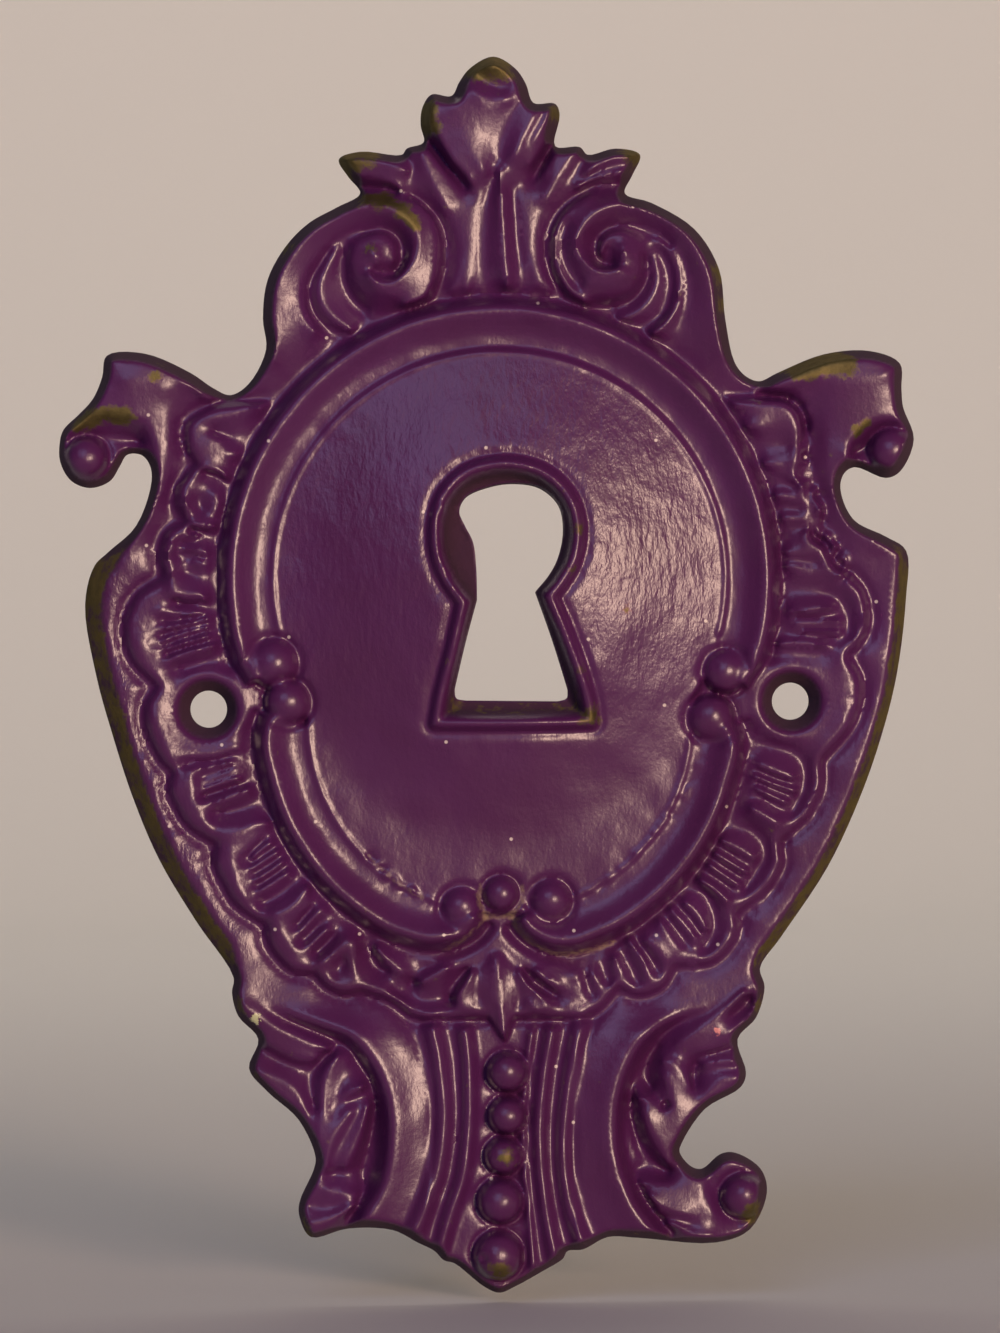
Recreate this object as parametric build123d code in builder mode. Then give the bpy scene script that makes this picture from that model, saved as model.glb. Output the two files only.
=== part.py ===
from build123d import *
import os
from math import cos, hypot, radians, sin

# Keyhole escutcheon: one brass casting in the rococo manner, drawn upright as it is fixed.
# X runs to the right, Z up, and the front faces -Y. Heights stand off the flat back.
# All sizes are in millimetres.

# Plate
PLATE_THICKNESS = 2.2
BURIED = 1.2  # height inside the plate from which raised ornament starts
CLEARANCE = 1.0  # by which cuts run past the metal

# Screw holes, level with each other at the sides of the boss
SCREW_SPACING = 37.6
SCREW_HOLE_RADIUS = 1.2
COUNTERSINK_RADIUS = 2.0
COUNTERSINK_ANGLE = 90.0

# Keyhole, a little off centre and leaning, with its raised rim
KEY_X = 0.75
KEY_Z = 10.7
KEY_LEAN = 1.8
KEY_ROUND_RADIUS = 3.4
KEY_NECK_WIDTH = 4.3
KEY_FOOT_WIDTH = 7.6
KEY_DROP = 10.4  # from the centre of the round part to the foot of the slot
KEY_NECK_DROP = 3.6
RIM_WIDTH = 1.25
RIM_RISE = 0.65

# Boss: a bell-shaped field inside two C-scrolls
BOSS_Z = 6.6
BOSS_PEAK = 5.9
BOSS_RINGS = [(4.2, 5.9), (9.4, 4.9), (14.2, 3.2), (21.0, 3.2)]  # radius, height
DISH_RADIUS = 11.0
DISH_FLOOR_RADIUS = 6.0
DISH_DEPTH = 2.4

# C-scrolls: the upper one is most of a circle, the lower one a half circle
UPPER_Z = 8.2
UPPER_RADIUS = 17.4
UPPER_END_ANGLE = -18.0
LOWER_Z = -1.0
LOWER_RADIUS = 15.0
LOWER_START_ANGLE = -4.0
LOWER_END_ANGLE = -76.0
SCROLL_WIDTH = 2.8
SCROLL_RIDGE = 0.7
SCROLL_HEIGHT = 4.2
SCROLL_COVE = 2.8
SCROLL_LAP = 0.2
SCROLL_BAND = (SCROLL_WIDTH, SCROLL_RIDGE, SCROLL_HEIGHT, SCROLL_COVE)
CURL_HEIGHT = 4.3
UPPER_CURL = (14.6, 2.4, 1.5)
LOWER_CURL = (13.5, -0.4, 1.4)
VOLUTE_CURL = (2.95, -12.75, 1.5)
CENTRE_BEAD = (0.0, -12.2, 1.15)

# Shell band round the scrolls: notches between its lobes, each with the bulge of the lobe below it
SHELL_HEIGHT = 2.8
FLUTE_WIDTH = 0.62
FLUTE_DEPTH = 0.55
FLUTE_LENGTH = 6.0
FLUTE_LEAD = 0.3  # by which a flute starts outside the line between two notches
SHELL = [
    (0.0, 19.0, 0.0),
    (20.1, 19.0, 0.4),
    (20.1, 15.5, 0.4),
    (20.8, 11.6, 0.6),
    (21.6, 8.2, 2.0),
    (22.3, 1.9, 1.5),
    (21.0, -4.0, 0.95),
    (18.4, -8.9, 0.95),
    (15.3, -14.0, 0.9),
    (11.8, -17.3, 0.8),
    (8.2, -18.5, 0.75),
    (3.4, -20.1, 0.0),
    (0.0, -20.1, 0.0),
]
FLUTES = [1, 1, 1, 3, 0, 2, 2, 2, 1, 1]  # cut across each lobe

# Right half of the outline from crest to foot: x, z and the bulge of the arc that follows
OUTLINE = [
    (0.0, 41.95, 0.5),  # crest
    (2.3, 40.1, 0.0),
    (2.6, 39.1, 0.0),
    (4.3, 39.2, 0.3),
    (4.25, 36.25, 0.25),
    (5.95, 35.65, 0.3),
    (9.75, 35.45, 0.0),  # side leaf of the crest
    (8.5, 33.0, 1.8),
    (14.95, 25.5, 0.0),  # crest volute
    (15.4, 22.0, -0.4),
    (17.1, 20.5, 0.0),
    (20.5, 22.0, 0.6),
    (25.6, 22.4, -0.3),  # ear
    (26.3, 19.2, 0.2),
    (27.7, 16.6, 0.55),
    (25.9, 14.4, 0.6),
    (24.3, 16.1, -0.75),
    (22.6, 15.8, -0.2),
    (22.6, 12.7, -0.3),
    (25.2, 10.4, 0.4),
    (26.55, 8.6, 2.2),  # side
    (17.0, -17.0, 1.05),
    (15.5, -21.8, 0.65),  # foot leaves
    (15.5, -24.8, -0.75),
    (11.8, -28.7, -0.3),
    (12.8, -29.95, 1.6),
    (17.35, -31.5, 1.2),  # foot volute
    (13.6, -34.8, 0.0),
    (7.1, -34.2, 0.0),
    (4.6, -35.25, 0.0),
    (2.4, -36.7, 0.2),
    (0.0, -38.0, 0.0),  # tip
]

# The foot volute is broken off at the left: edge of the break
BREAK_X = -12.9
BREAK_TOP = -28.7
BREAK_BOTTOM = -35.5
BREAK_SLANT = 0.6
BREAK_REACH = 6.0

# Crest volutes: a band that follows the outline, then turns in on itself by half circles
VOLUTE_X = 7.6
VOLUTE_TOP = 32.6
VOLUTE_BAND_RADIUS = 7.2
VOLUTE_BAND_START = -14.0
VOLUTE_TURNS = [3.6, 2.7]
VOLUTE_WIDTH = 1.9
VOLUTE_RIDGE = 0.6
VOLUTE_HEIGHT = 3.9
VOLUTE_COVE = 2.6
VOLUTE_EYE = (7.7, 28.6, 1.3)

# Foot: two bands that sweep in from the sides, ribs between them and a string of beads
BAND_HEIGHT = 3.1
BAND_OUTER = [
    (16.9, -17.6, -0.35),
    (9.9, -21.3, -0.9),
    (7.5, -27.5, -0.55),
    (9.4, -33.6, 0.0),
]
BAND_INNER = [
    (6.6, -33.9, 0.5),
    (4.7, -28.0, 0.6),
    (6.4, -20.4, 0.3),
    (10.3, -19.2, 0.0),
]
RIB_WIDTH = 1.5
RIB_TOP = 0.5
RIB_LEVEL = 2.2
RIB_RISE = 1.1
RIBS = [
    ((2.2, -21.0), (1.9, -27.0), (3.3, -35.2)),
    ((4.0, -20.9), (3.45, -27.0), (4.9, -34.4)),
]
BEAD_HEIGHT = 4.2
BEAD_SIDES = 10
BEAD_SIDE_CUT = 0.55
BEAD_TOP_CUT = 0.55
BEADS = [
    (0.4, -23.6, 1.3),
    (0.4, -26.4, 1.17),
    (0.25, -29.0, 1.17),
    (0.1, -31.95, 1.42),
    (0.0, -35.3, 1.5),
]
FOOT_CURL = (15.4, -31.9, 1.5)

# Ears: balls where the ear curls in
EAR_CURL = (25.85, 16.35, 1.7)

# Leaf lobes: root, tip and half width; the right-hand ones have a twin at the left
LEAF_EDGE = 2.3
LEAF_RIDGE = 3.6
LEAF_ROOT_SHARE = 0.3
LEAF_TIP_SHARE = 0.75
LEAVES = [
    ((0.0, 32.5), (0.0, 41.6), 1.75),  # crest
    ((0.9, 33.4), (4.1, 39.0), 1.0),
    ((2.2, 31.9), (9.4, 35.3), 1.1),
    ((0.75, 25.2), (0.6, 34.0), 0.85),
    ((2.3, 25.4), (1.7, 33.6), 0.8),
    ((0.0, -14.8), (0.0, -21.6), 1.15),  # leaf under the boss
    ((0.5, -15.0), (3.1, -19.5), 0.85),
    ((0.9, -14.9), (5.2, -17.9), 0.7),
    ((17.3, 18.6), (25.4, 22.0), 1.25),  # ear
    ((18.4, 17.2), (26.3, 18.4), 1.0),
    ((10.4, -21.8), (16.9, -18.8), 1.3),  # foot leaves
    ((10.6, -23.7), (15.9, -23.7), 1.05),
    ((9.3, -23.6), (12.2, -27.2), 0.9),
    ((8.6, -26.2), (12.0, -30.2), 0.9),
    ((8.9, -30.0), (12.4, -33.6), 1.1),
]

FACE = Plane.XZ


def arcs(points):
    """Draw an arc from each point to the next; a point is x, z and the bulge of its arc."""
    for (x0, z0, bulge), (x1, z1, _) in zip(points, points[1:]):
        if bulge:
            SagittaArc((x0, z0), (x1, z1), bulge)
        else:
            Line((x0, z0), (x1, z1))


def bead(x, z, radius, top):
    """Make a bead or the eye of a curl: a many-sided boss with its top cut back all round."""
    with BuildPart() as boss_bead:
        with BuildSketch(FACE.offset(BURIED)):
            with Locations((x, z)):
                RegularPolygon(radius, BEAD_SIDES)
        extrude(amount=top - BURIED)
        crown = boss_bead.faces().sort_by(Axis.Y)[0]
        chamfer(crown.edges(), radius * BEAD_SIDE_CUT, radius * BEAD_TOP_CUT, reference=crown)
    return boss_bead.part


def leaf(root, tip, half_width):
    """Make a leaf lobe: a ridged roof along its length, cut to a six-sided blade."""
    length = hypot(tip[0] - root[0], tip[1] - root[1])
    start = (root[0], 0, root[1])
    along = Vector(tip[0] - root[0], 0, tip[1] - root[1]).normalized()
    across = along.cross(Vector(0, 1, 0))
    with BuildPart() as lobe:
        with BuildSketch(Plane(origin=start, x_dir=across, z_dir=along)):
            Polygon(
                (-half_width, BURIED),
                (half_width, BURIED),
                (half_width, LEAF_EDGE),
                (0, LEAF_RIDGE),
                (-half_width, LEAF_EDGE),
                align=None,
            )
        extrude(amount=length)
        with BuildSketch(Plane(origin=start, x_dir=along, z_dir=(0, -1, 0))):
            Polygon(
                (0, 0),
                (length * LEAF_ROOT_SHARE, -half_width),
                (length * LEAF_TIP_SHARE, -half_width),
                (length, 0),
                (length * LEAF_TIP_SHARE, half_width),
                (length * LEAF_ROOT_SHARE, half_width),
                align=None,
            )
        extrude(amount=LEAF_RIDGE, mode=Mode.INTERSECT)
    return lobe.part


def rib(path):
    """Add a rib along a path, with a narrow flat top and leaning sides."""
    across = Vector(0, -1, 0).cross(path % 0)
    with BuildSketch(Plane(origin=path @ 0, x_dir=across, z_dir=path % 0)) as section:
        Polygon(
            (-RIB_WIDTH / 2, 0),
            (RIB_WIDTH / 2, 0),
            (RIB_TOP / 2, RIB_RISE),
            (-RIB_TOP / 2, RIB_RISE),
            align=None,
        )
    sweep(section.sketch, path=path)


def radial_plane(centre, angle):
    """Plane through the axis of a scroll: across is the radius, up is the height off the back."""
    across = (cos(radians(angle)), 0, sin(radians(angle)))
    facing = (sin(radians(angle)), 0, -cos(radians(angle)))
    return Plane(origin=(centre[0], 0, centre[1]), x_dir=across, z_dir=facing)


def scroll(centre, radius, start, turn, width, ridge, height, cove):
    """Add a scroll band turned about a centre: a steep outer wall, a flat ridge, a fall inwards."""
    with BuildSketch(radial_plane(centre, start)) as section:
        Polygon(
            (radius - width, BURIED),
            (radius, BURIED),
            (radius, height),
            (radius - ridge, height),
            (radius - width, cove),
            align=None,
        )
    revolve(section.sketch, axis=Axis((centre[0], 0, centre[1]), (0, -1, 0)), revolution_arc=turn)


def bell(rise):
    """Add the bell of the boss, raised by an amount: rings of falling height turned about its axis."""
    rings = [(radius, height + rise) for radius, height in BOSS_RINGS]
    with BuildSketch(radial_plane((0, BOSS_Z), 0)) as section:
        Polygon((0, BURIED), (0, BOSS_PEAK + rise), *rings, (rings[-1][0], BURIED), align=None)
    revolve(section.sketch, axis=Axis((0, 0, BOSS_Z), (0, -1, 0)))


def keyhole(margin):
    """Draw the keyhole on the face, grown by a margin."""
    with Locations(Location((KEY_X, KEY_Z), KEY_LEAN)):
        Circle(KEY_ROUND_RADIUS + margin)
        Polygon(
            (-KEY_FOOT_WIDTH / 2 - margin, -KEY_DROP - margin),
            (KEY_FOOT_WIDTH / 2 + margin, -KEY_DROP - margin),
            (KEY_NECK_WIDTH / 2 + margin, -KEY_NECK_DROP),
            (KEY_NECK_WIDTH / 2 + margin, 0),
            (-KEY_NECK_WIDTH / 2 - margin, 0),
            (-KEY_NECK_WIDTH / 2 - margin, -KEY_NECK_DROP),
            align=None,
        )


# Flange, with the shell band standing on it
with BuildPart() as plate:
    for outline, height in ((OUTLINE, PLATE_THICKNESS), (SHELL, SHELL_HEIGHT)):
        with BuildSketch(FACE):
            with BuildLine():
                arcs(outline)
                mirror(about=Plane.YZ)
            make_face()
        extrude(amount=height)

# Flutes across the lobes of the shell band, and the deeper nicks between them
with BuildPart() as flutes:
    for (x0, z0, bulge), (x1, z1, _), count in zip(SHELL[1:], SHELL[2:], FLUTES):
        centre = UPPER_Z if z0 + z1 > 0 else LOWER_Z
        for i in range(count + 1):
            share = i / (count + 1)
            x = x0 + (x1 - x0) * share
            z = z0 + (z1 - z0) * share
            inwards = Vector(-x, 0, centre - z).normalized()
            start = Vector(x, -SHELL_HEIGHT, z) - inwards * FLUTE_LEAD
            with BuildSketch(Plane(origin=start, x_dir=(0, -1, 0), z_dir=inwards)) as nick:
                Polygon(
                    (FLUTE_DEPTH, -FLUTE_WIDTH),
                    (FLUTE_DEPTH, FLUTE_WIDTH),
                    (-FLUTE_DEPTH, 0),
                    align=None,
                )
            extrude(nick.sketch, amount=FLUTE_LEAD + FLUTE_LENGTH)
    mirror(about=Plane.YZ)

# Boss: bell-shaped field and keyhole rim
with BuildPart() as boss:
    bell(0)
    with BuildSketch(FACE):
        with Locations((0, UPPER_Z)):
            Circle(UPPER_RADIUS - SCROLL_WIDTH + SCROLL_LAP)
        with Locations((0, LOWER_Z)):
            Circle(LOWER_RADIUS - SCROLL_WIDTH + SCROLL_LAP)
    extrude(amount=BOSS_PEAK + CLEARANCE, mode=Mode.INTERSECT)

with BuildPart() as rim:
    bell(RIM_RISE)
    with BuildSketch(FACE):
        keyhole(RIM_WIDTH)
    extrude(amount=BOSS_PEAK + RIM_RISE + CLEARANCE, mode=Mode.INTERSECT)

# C-scrolls and their curls
curls = [bead(*place, CURL_HEIGHT) for place in (UPPER_CURL, LOWER_CURL, VOLUTE_CURL)]
centre_bead = bead(*CENTRE_BEAD, CURL_HEIGHT)
with BuildPart() as scrolls:
    scroll((0, LOWER_Z), LOWER_RADIUS, LOWER_END_ANGLE, LOWER_START_ANGLE - LOWER_END_ANGLE, *SCROLL_BAND)
    add(curls)
    mirror(about=Plane.YZ)
    scroll((0, UPPER_Z), UPPER_RADIUS, UPPER_END_ANGLE, 180 - 2 * UPPER_END_ANGLE, *SCROLL_BAND)
    add(centre_bead)

# Crest volutes: half circles of falling radius, each starting where the last one ends
eye = bead(*VOLUTE_EYE, CURL_HEIGHT)
band = (VOLUTE_WIDTH, VOLUTE_RIDGE, VOLUTE_HEIGHT, VOLUTE_COVE)
band_centre = (VOLUTE_X, VOLUTE_TOP - VOLUTE_BAND_RADIUS)
with BuildPart() as volutes:
    scroll(band_centre, VOLUTE_BAND_RADIUS, VOLUTE_BAND_START, 90 - VOLUTE_BAND_START, *band)
    end = VOLUTE_TOP
    way = -1
    for radius in VOLUTE_TURNS:
        scroll((VOLUTE_X, end + way * radius), radius, -90 * way, 180, *band)
        end = end + 2 * way * radius
        way = -way
    add(eye)
    mirror(about=Plane.YZ)

# Foot: bands, ribs and beads
beads = [bead(*place, BEAD_HEIGHT) for place in BEADS]
with BuildPart() as foot:
    with BuildSketch(FACE):
        with BuildLine():
            arcs(BAND_OUTER)
            Line(BAND_OUTER[-1][:2], BAND_INNER[0][:2])
            arcs(BAND_INNER)
            Line(BAND_INNER[-1][:2], BAND_OUTER[0][:2])
        make_face()
    extrude(amount=BAND_HEIGHT)
    for points in RIBS:
        with BuildLine(FACE.offset(RIB_LEVEL)) as line:
            ThreePointArc(*points)
        rib(line.wire())
    mirror(about=Plane.YZ)
    add(beads)

# Leaf lobes of crest, ears, foot and the leaf under the boss
lobes = [leaf(*place) for place in LEAVES]
balls = [bead(*place, CURL_HEIGHT) for place in (EAR_CURL, FOOT_CURL)]
with BuildPart() as leaves:
    add(lobes)
    add(balls)
    mirror(about=Plane.YZ)

# The casting
with BuildPart() as escutcheon_plate:
    add(plate.part)
    add(flutes.part, mode=Mode.SUBTRACT)
    add([boss.part, rim.part, scrolls.part])
    add([volutes.part, foot.part])
    add(leaves.part)
    with BuildSketch(FACE):
        keyhole(0)
    extrude(amount=BOSS_PEAK + RIM_RISE + CLEARANCE, mode=Mode.SUBTRACT)
    with Locations(FACE.offset(SHELL_HEIGHT)):
        with Locations((-SCREW_SPACING / 2, 0), (SCREW_SPACING / 2, 0)):
            CounterSinkHole(SCREW_HOLE_RADIUS, COUNTERSINK_RADIUS, counter_sink_angle=COUNTERSINK_ANGLE)
    with BuildSketch(FACE):
        Polygon(
            (BREAK_X, BREAK_TOP),
            (BREAK_X - BREAK_SLANT / 2, (BREAK_TOP + BREAK_BOTTOM) / 2),
            (BREAK_X + BREAK_SLANT, BREAK_BOTTOM),
            (BREAK_X - BREAK_REACH, BREAK_BOTTOM),
            (BREAK_X - BREAK_REACH, BREAK_TOP),
            align=None,
        )
    extrude(amount=BOSS_PEAK, mode=Mode.SUBTRACT)
    with BuildSketch(radial_plane((0, BOSS_Z), 0)):
        Polygon((0, 0), (DISH_RADIUS, 0), (DISH_FLOOR_RADIUS, DISH_DEPTH), (0, DISH_DEPTH), align=None)
    revolve(axis=Axis((0, 0, BOSS_Z), (0, -1, 0)), mode=Mode.SUBTRACT)

os.makedirs("parts", exist_ok=True)
escutcheon_plate.part.label = "escutcheon_plate"
export_step(escutcheon_plate.part, "parts/escutcheon_plate.step")
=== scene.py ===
"""Looks of the keyhole escutcheon: its relief, its worn paint, the stage and the camera."""
import math

import bpy
import mathutils
import numpy as np
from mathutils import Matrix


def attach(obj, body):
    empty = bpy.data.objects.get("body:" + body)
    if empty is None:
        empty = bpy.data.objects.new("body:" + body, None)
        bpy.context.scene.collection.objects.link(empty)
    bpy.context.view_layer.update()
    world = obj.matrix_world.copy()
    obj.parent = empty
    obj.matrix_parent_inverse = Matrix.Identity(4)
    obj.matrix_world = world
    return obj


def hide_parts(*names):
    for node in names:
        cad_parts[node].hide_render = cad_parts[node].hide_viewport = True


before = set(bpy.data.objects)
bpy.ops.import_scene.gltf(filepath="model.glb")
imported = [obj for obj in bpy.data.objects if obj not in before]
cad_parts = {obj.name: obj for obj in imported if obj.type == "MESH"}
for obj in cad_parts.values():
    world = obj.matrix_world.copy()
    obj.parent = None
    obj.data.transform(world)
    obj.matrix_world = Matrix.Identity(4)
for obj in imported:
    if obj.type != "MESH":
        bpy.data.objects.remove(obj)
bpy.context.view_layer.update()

bl_info = {
    "name": "Keyhole escutcheon",
    "version": (1, 0, 0),
    "blender": (4, 5, 0),
    "location": "View3D > Sidebar > Escutcheon",
    "description": "Cast and painted rococo keyhole escutcheon with its stage",
    "category": "Add Mesh",
}

MM = 0.001

# Values of the relief are in millimetres: x to the right, z up, as the plate lies in the picture.
# Left and lower end of the relief's grid, its width and its height.
GRID = (-29.2, -38.8, 57.0, 81.6)
# Height of the flange at the shell band, its rise outward, and how far it rises.
FLANGE = (2.05, 0.13, 3.2)
# Walls: height at the outline, steepness, and steepness of the flank at the left and the right.
WALL_FOOT = 0.35
WALL_DRAFT = 4.0
FLANK_DRAFT = (1.5, 2.6)
# Least height of the upright edge, and the angle from which an edge of the mesh is drawn sharp.
LEAST_EDGE = 0.25
SHARP_EDGE = math.radians(60)
# Back: cells between its inner points, how far those stay from the outline, and the dish behind the boss,
# from its border to where it is deepest, counted inward to the boss's middle.
BACK_STEP = 8
BACK_INSET = 0.8
DISH_REACH = (-11.0, -6.0)
# Waves of the thick coat: width and depth. Lumps of crusty paint: width.
COAT_WAVES = ((0.35, 0.012), (0.8, 0.022), (2.2, 0.04))
LUMP = 0.17

# Outline from the crest's tip down the right side, then from the foot's tip up the left side.
RIGHT_EDGE = [
    (-0.4, 41.95), (1.0, 41.2), (1.7, 40.2), (2.2, 38.95), (3.6, 38.9), (3.9, 38.2), (3.6, 36.15),
    (5.2, 36.1), (5.7, 35.6), (7.5, 36.0), (9.1, 35.6), (8.6, 34.3), (8.1, 33.1), (9.8, 32.5),
    (12.6, 30.8), (14.2, 28.2), (14.6, 25.0), (15.2, 22.2), (15.9, 21.3), (16.8, 20.95), (18.0, 21.5),
    (21.0, 22.7), (24.0, 22.9), (25.9, 22.1), (26.0, 20.5), (26.1, 19.3), (26.8, 17.2), (25.9, 15.1),
    (25.0, 14.7), (23.0, 15.4), (22.3, 15.0), (22.05, 14.0), (22.9, 12.0), (25.0, 10.9), (26.3, 10.0),
    (26.3, 7.0), (25.7, 2.0), (24.7, -2.0), (23.3, -6.0), (21.2, -10.5), (18.2, -15.0), (16.85, -17.0),
    (17.15, -18.2), (16.6, -20.2), (15.4, -21.6), (15.95, -23.8), (15.6, -24.7), (13.3, -26.1),
    (11.8, -28.3), (11.65, -28.9), (12.4, -29.85), (13.1, -30.0), (14.3, -29.05), (15.2, -28.95),
    (16.9, -30.0), (17.3, -31.5), (16.2, -33.9), (14.0, -34.75), (9.0, -34.45), (7.0, -34.4),
    (5.4, -35.2), (4.4, -35.3), (4.1, -35.8), (2.8, -36.6), (1.0, -37.6), (0.0, -38.0),
]
LEFT_EDGE = [
    (-1.0, -37.6), (-2.9, -36.1), (-3.6, -35.9), (-4.2, -35.3), (-5.3, -34.75), (-6.9, -33.95),
    (-9.8, -33.85), (-12.2, -34.4), (-12.9, -33.2), (-12.95, -32.2), (-12.0, -30.0), (-11.9, -29.2),
    (-13.0, -26.8), (-15.0, -25.0), (-16.2, -23.5), (-15.6, -21.6), (-16.9, -20.1), (-17.3, -18.6),
    (-17.2, -17.6), (-19.6, -14.0), (-22.0, -10.0), (-23.7, -6.0), (-25.0, -2.0), (-26.1, 2.0),
    (-26.8, 6.5), (-26.2, 9.0), (-25.3, 9.9), (-23.5, 11.6), (-22.5, 14.5), (-22.65, 15.6),
    (-23.2, 16.2), (-24.1, 16.2), (-24.55, 15.5), (-25.2, 14.5), (-26.5, 14.05), (-27.7, 14.5),
    (-28.4, 15.7), (-28.45, 16.9), (-28.2, 17.8), (-27.2, 18.8), (-26.3, 19.8), (-25.7, 21.2),
    (-25.4, 22.6), (-23.0, 22.75), (-20.0, 21.5), (-18.5, 20.5), (-17.4, 20.05), (-16.2, 20.8),
    (-15.1, 23.0), (-15.3, 25.0), (-15.0, 27.5), (-13.8, 29.7), (-12.3, 31.2), (-10.5, 32.2),
    (-9.0, 33.1), (-9.8, 34.2), (-10.4, 35.3), (-9.0, 35.8), (-6.3, 35.6), (-6.0, 36.0), (-4.9, 36.4),
    (-5.1, 37.5), (-5.0, 38.6), (-4.4, 39.5), (-3.1, 39.4), (-2.6, 40.3), (-1.9, 41.2),
]
# Lobes of the shell band round the boss, cusp to cusp, from the top down.
SHELL_RIGHT = [
    [(16.2, 19.9), (18.5, 19.7), (19.5, 18.7), (19.7, 17.2), (19.4, 14.8)],
    [(19.4, 14.8), (20.5, 13.7), (20.7, 12.2), (20.3, 10.9)],
    [(20.3, 10.9), (21.1, 10.3), (21.6, 9.2)],
    [(21.6, 9.2), (23.2, 7.9), (23.9, 6.3), (23.7, 4.5), (22.6, 3.2)],
    [(22.6, 3.2), (23.4, 1.7), (23.3, 0.0), (22.7, -1.5), (20.9, -3.6)],
    [(20.9, -3.6), (20.9, -5.3), (20.1, -7.1), (18.2, -8.8)],
    [(18.2, -8.8), (18.3, -10.2), (17.5, -11.8), (15.4, -13.5)],
    [(15.4, -13.5), (15.5, -14.6), (13.9, -16.6), (11.4, -16.9)],
    [(11.4, -16.9), (10.6, -18.2), (9.0, -18.8), (7.7, -18.3)],
    [(7.7, -18.3), (6.6, -19.6), (5.4, -20.2), (3.4, -20.3)],
]
SHELL_LEFT = [
    [(-16.4, 19.6), (-18.6, 19.3), (-20.2, 18.2), (-20.3, 16.9), (-19.7, 15.5)],
    [(-19.7, 15.5), (-20.8, 14.2), (-21.0, 12.8), (-20.4, 11.9)],
    [(-20.4, 11.9), (-21.6, 11.2), (-22.0, 9.6), (-21.8, 8.3)],
    [(-21.8, 8.3), (-23.4, 7.2), (-24.2, 5.6), (-24.2, 4.0), (-23.7, 2.7), (-22.2, 1.2)],
    [(-22.2, 1.2), (-22.9, 0.1), (-22.9, -1.5), (-21.8, -3.8), (-21.2, -4.3)],
    [(-21.2, -4.3), (-21.4, -5.4), (-20.9, -6.7), (-20.0, -8.0), (-18.4, -9.0)],
    [(-18.4, -9.0), (-18.5, -10.2), (-17.9, -11.6), (-17.0, -13.0), (-15.2, -14.2)],
    [(-15.2, -14.2), (-15.0, -15.4), (-14.4, -16.3), (-13.4, -17.2), (-12.0, -17.4)],
    [(-12.0, -17.4), (-11.1, -18.3), (-10.0, -18.7), (-8.9, -18.5)],
    [(-8.9, -18.5), (-7.0, -19.2), (-5.5, -20.2), (-3.0, -20.3)],
]
# Shape across the band's outline: offset inward and height.
SHELL_PROFILE = [
    (-0.9, 0), (-0.5, -0.06), (-0.2, -0.35), (0.05, -0.1), (0.3, 0.55), (0.55, 0.78), (0.9, 0.6),
    (1.3, 0.45), (4.0, 0.45),
]
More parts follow.
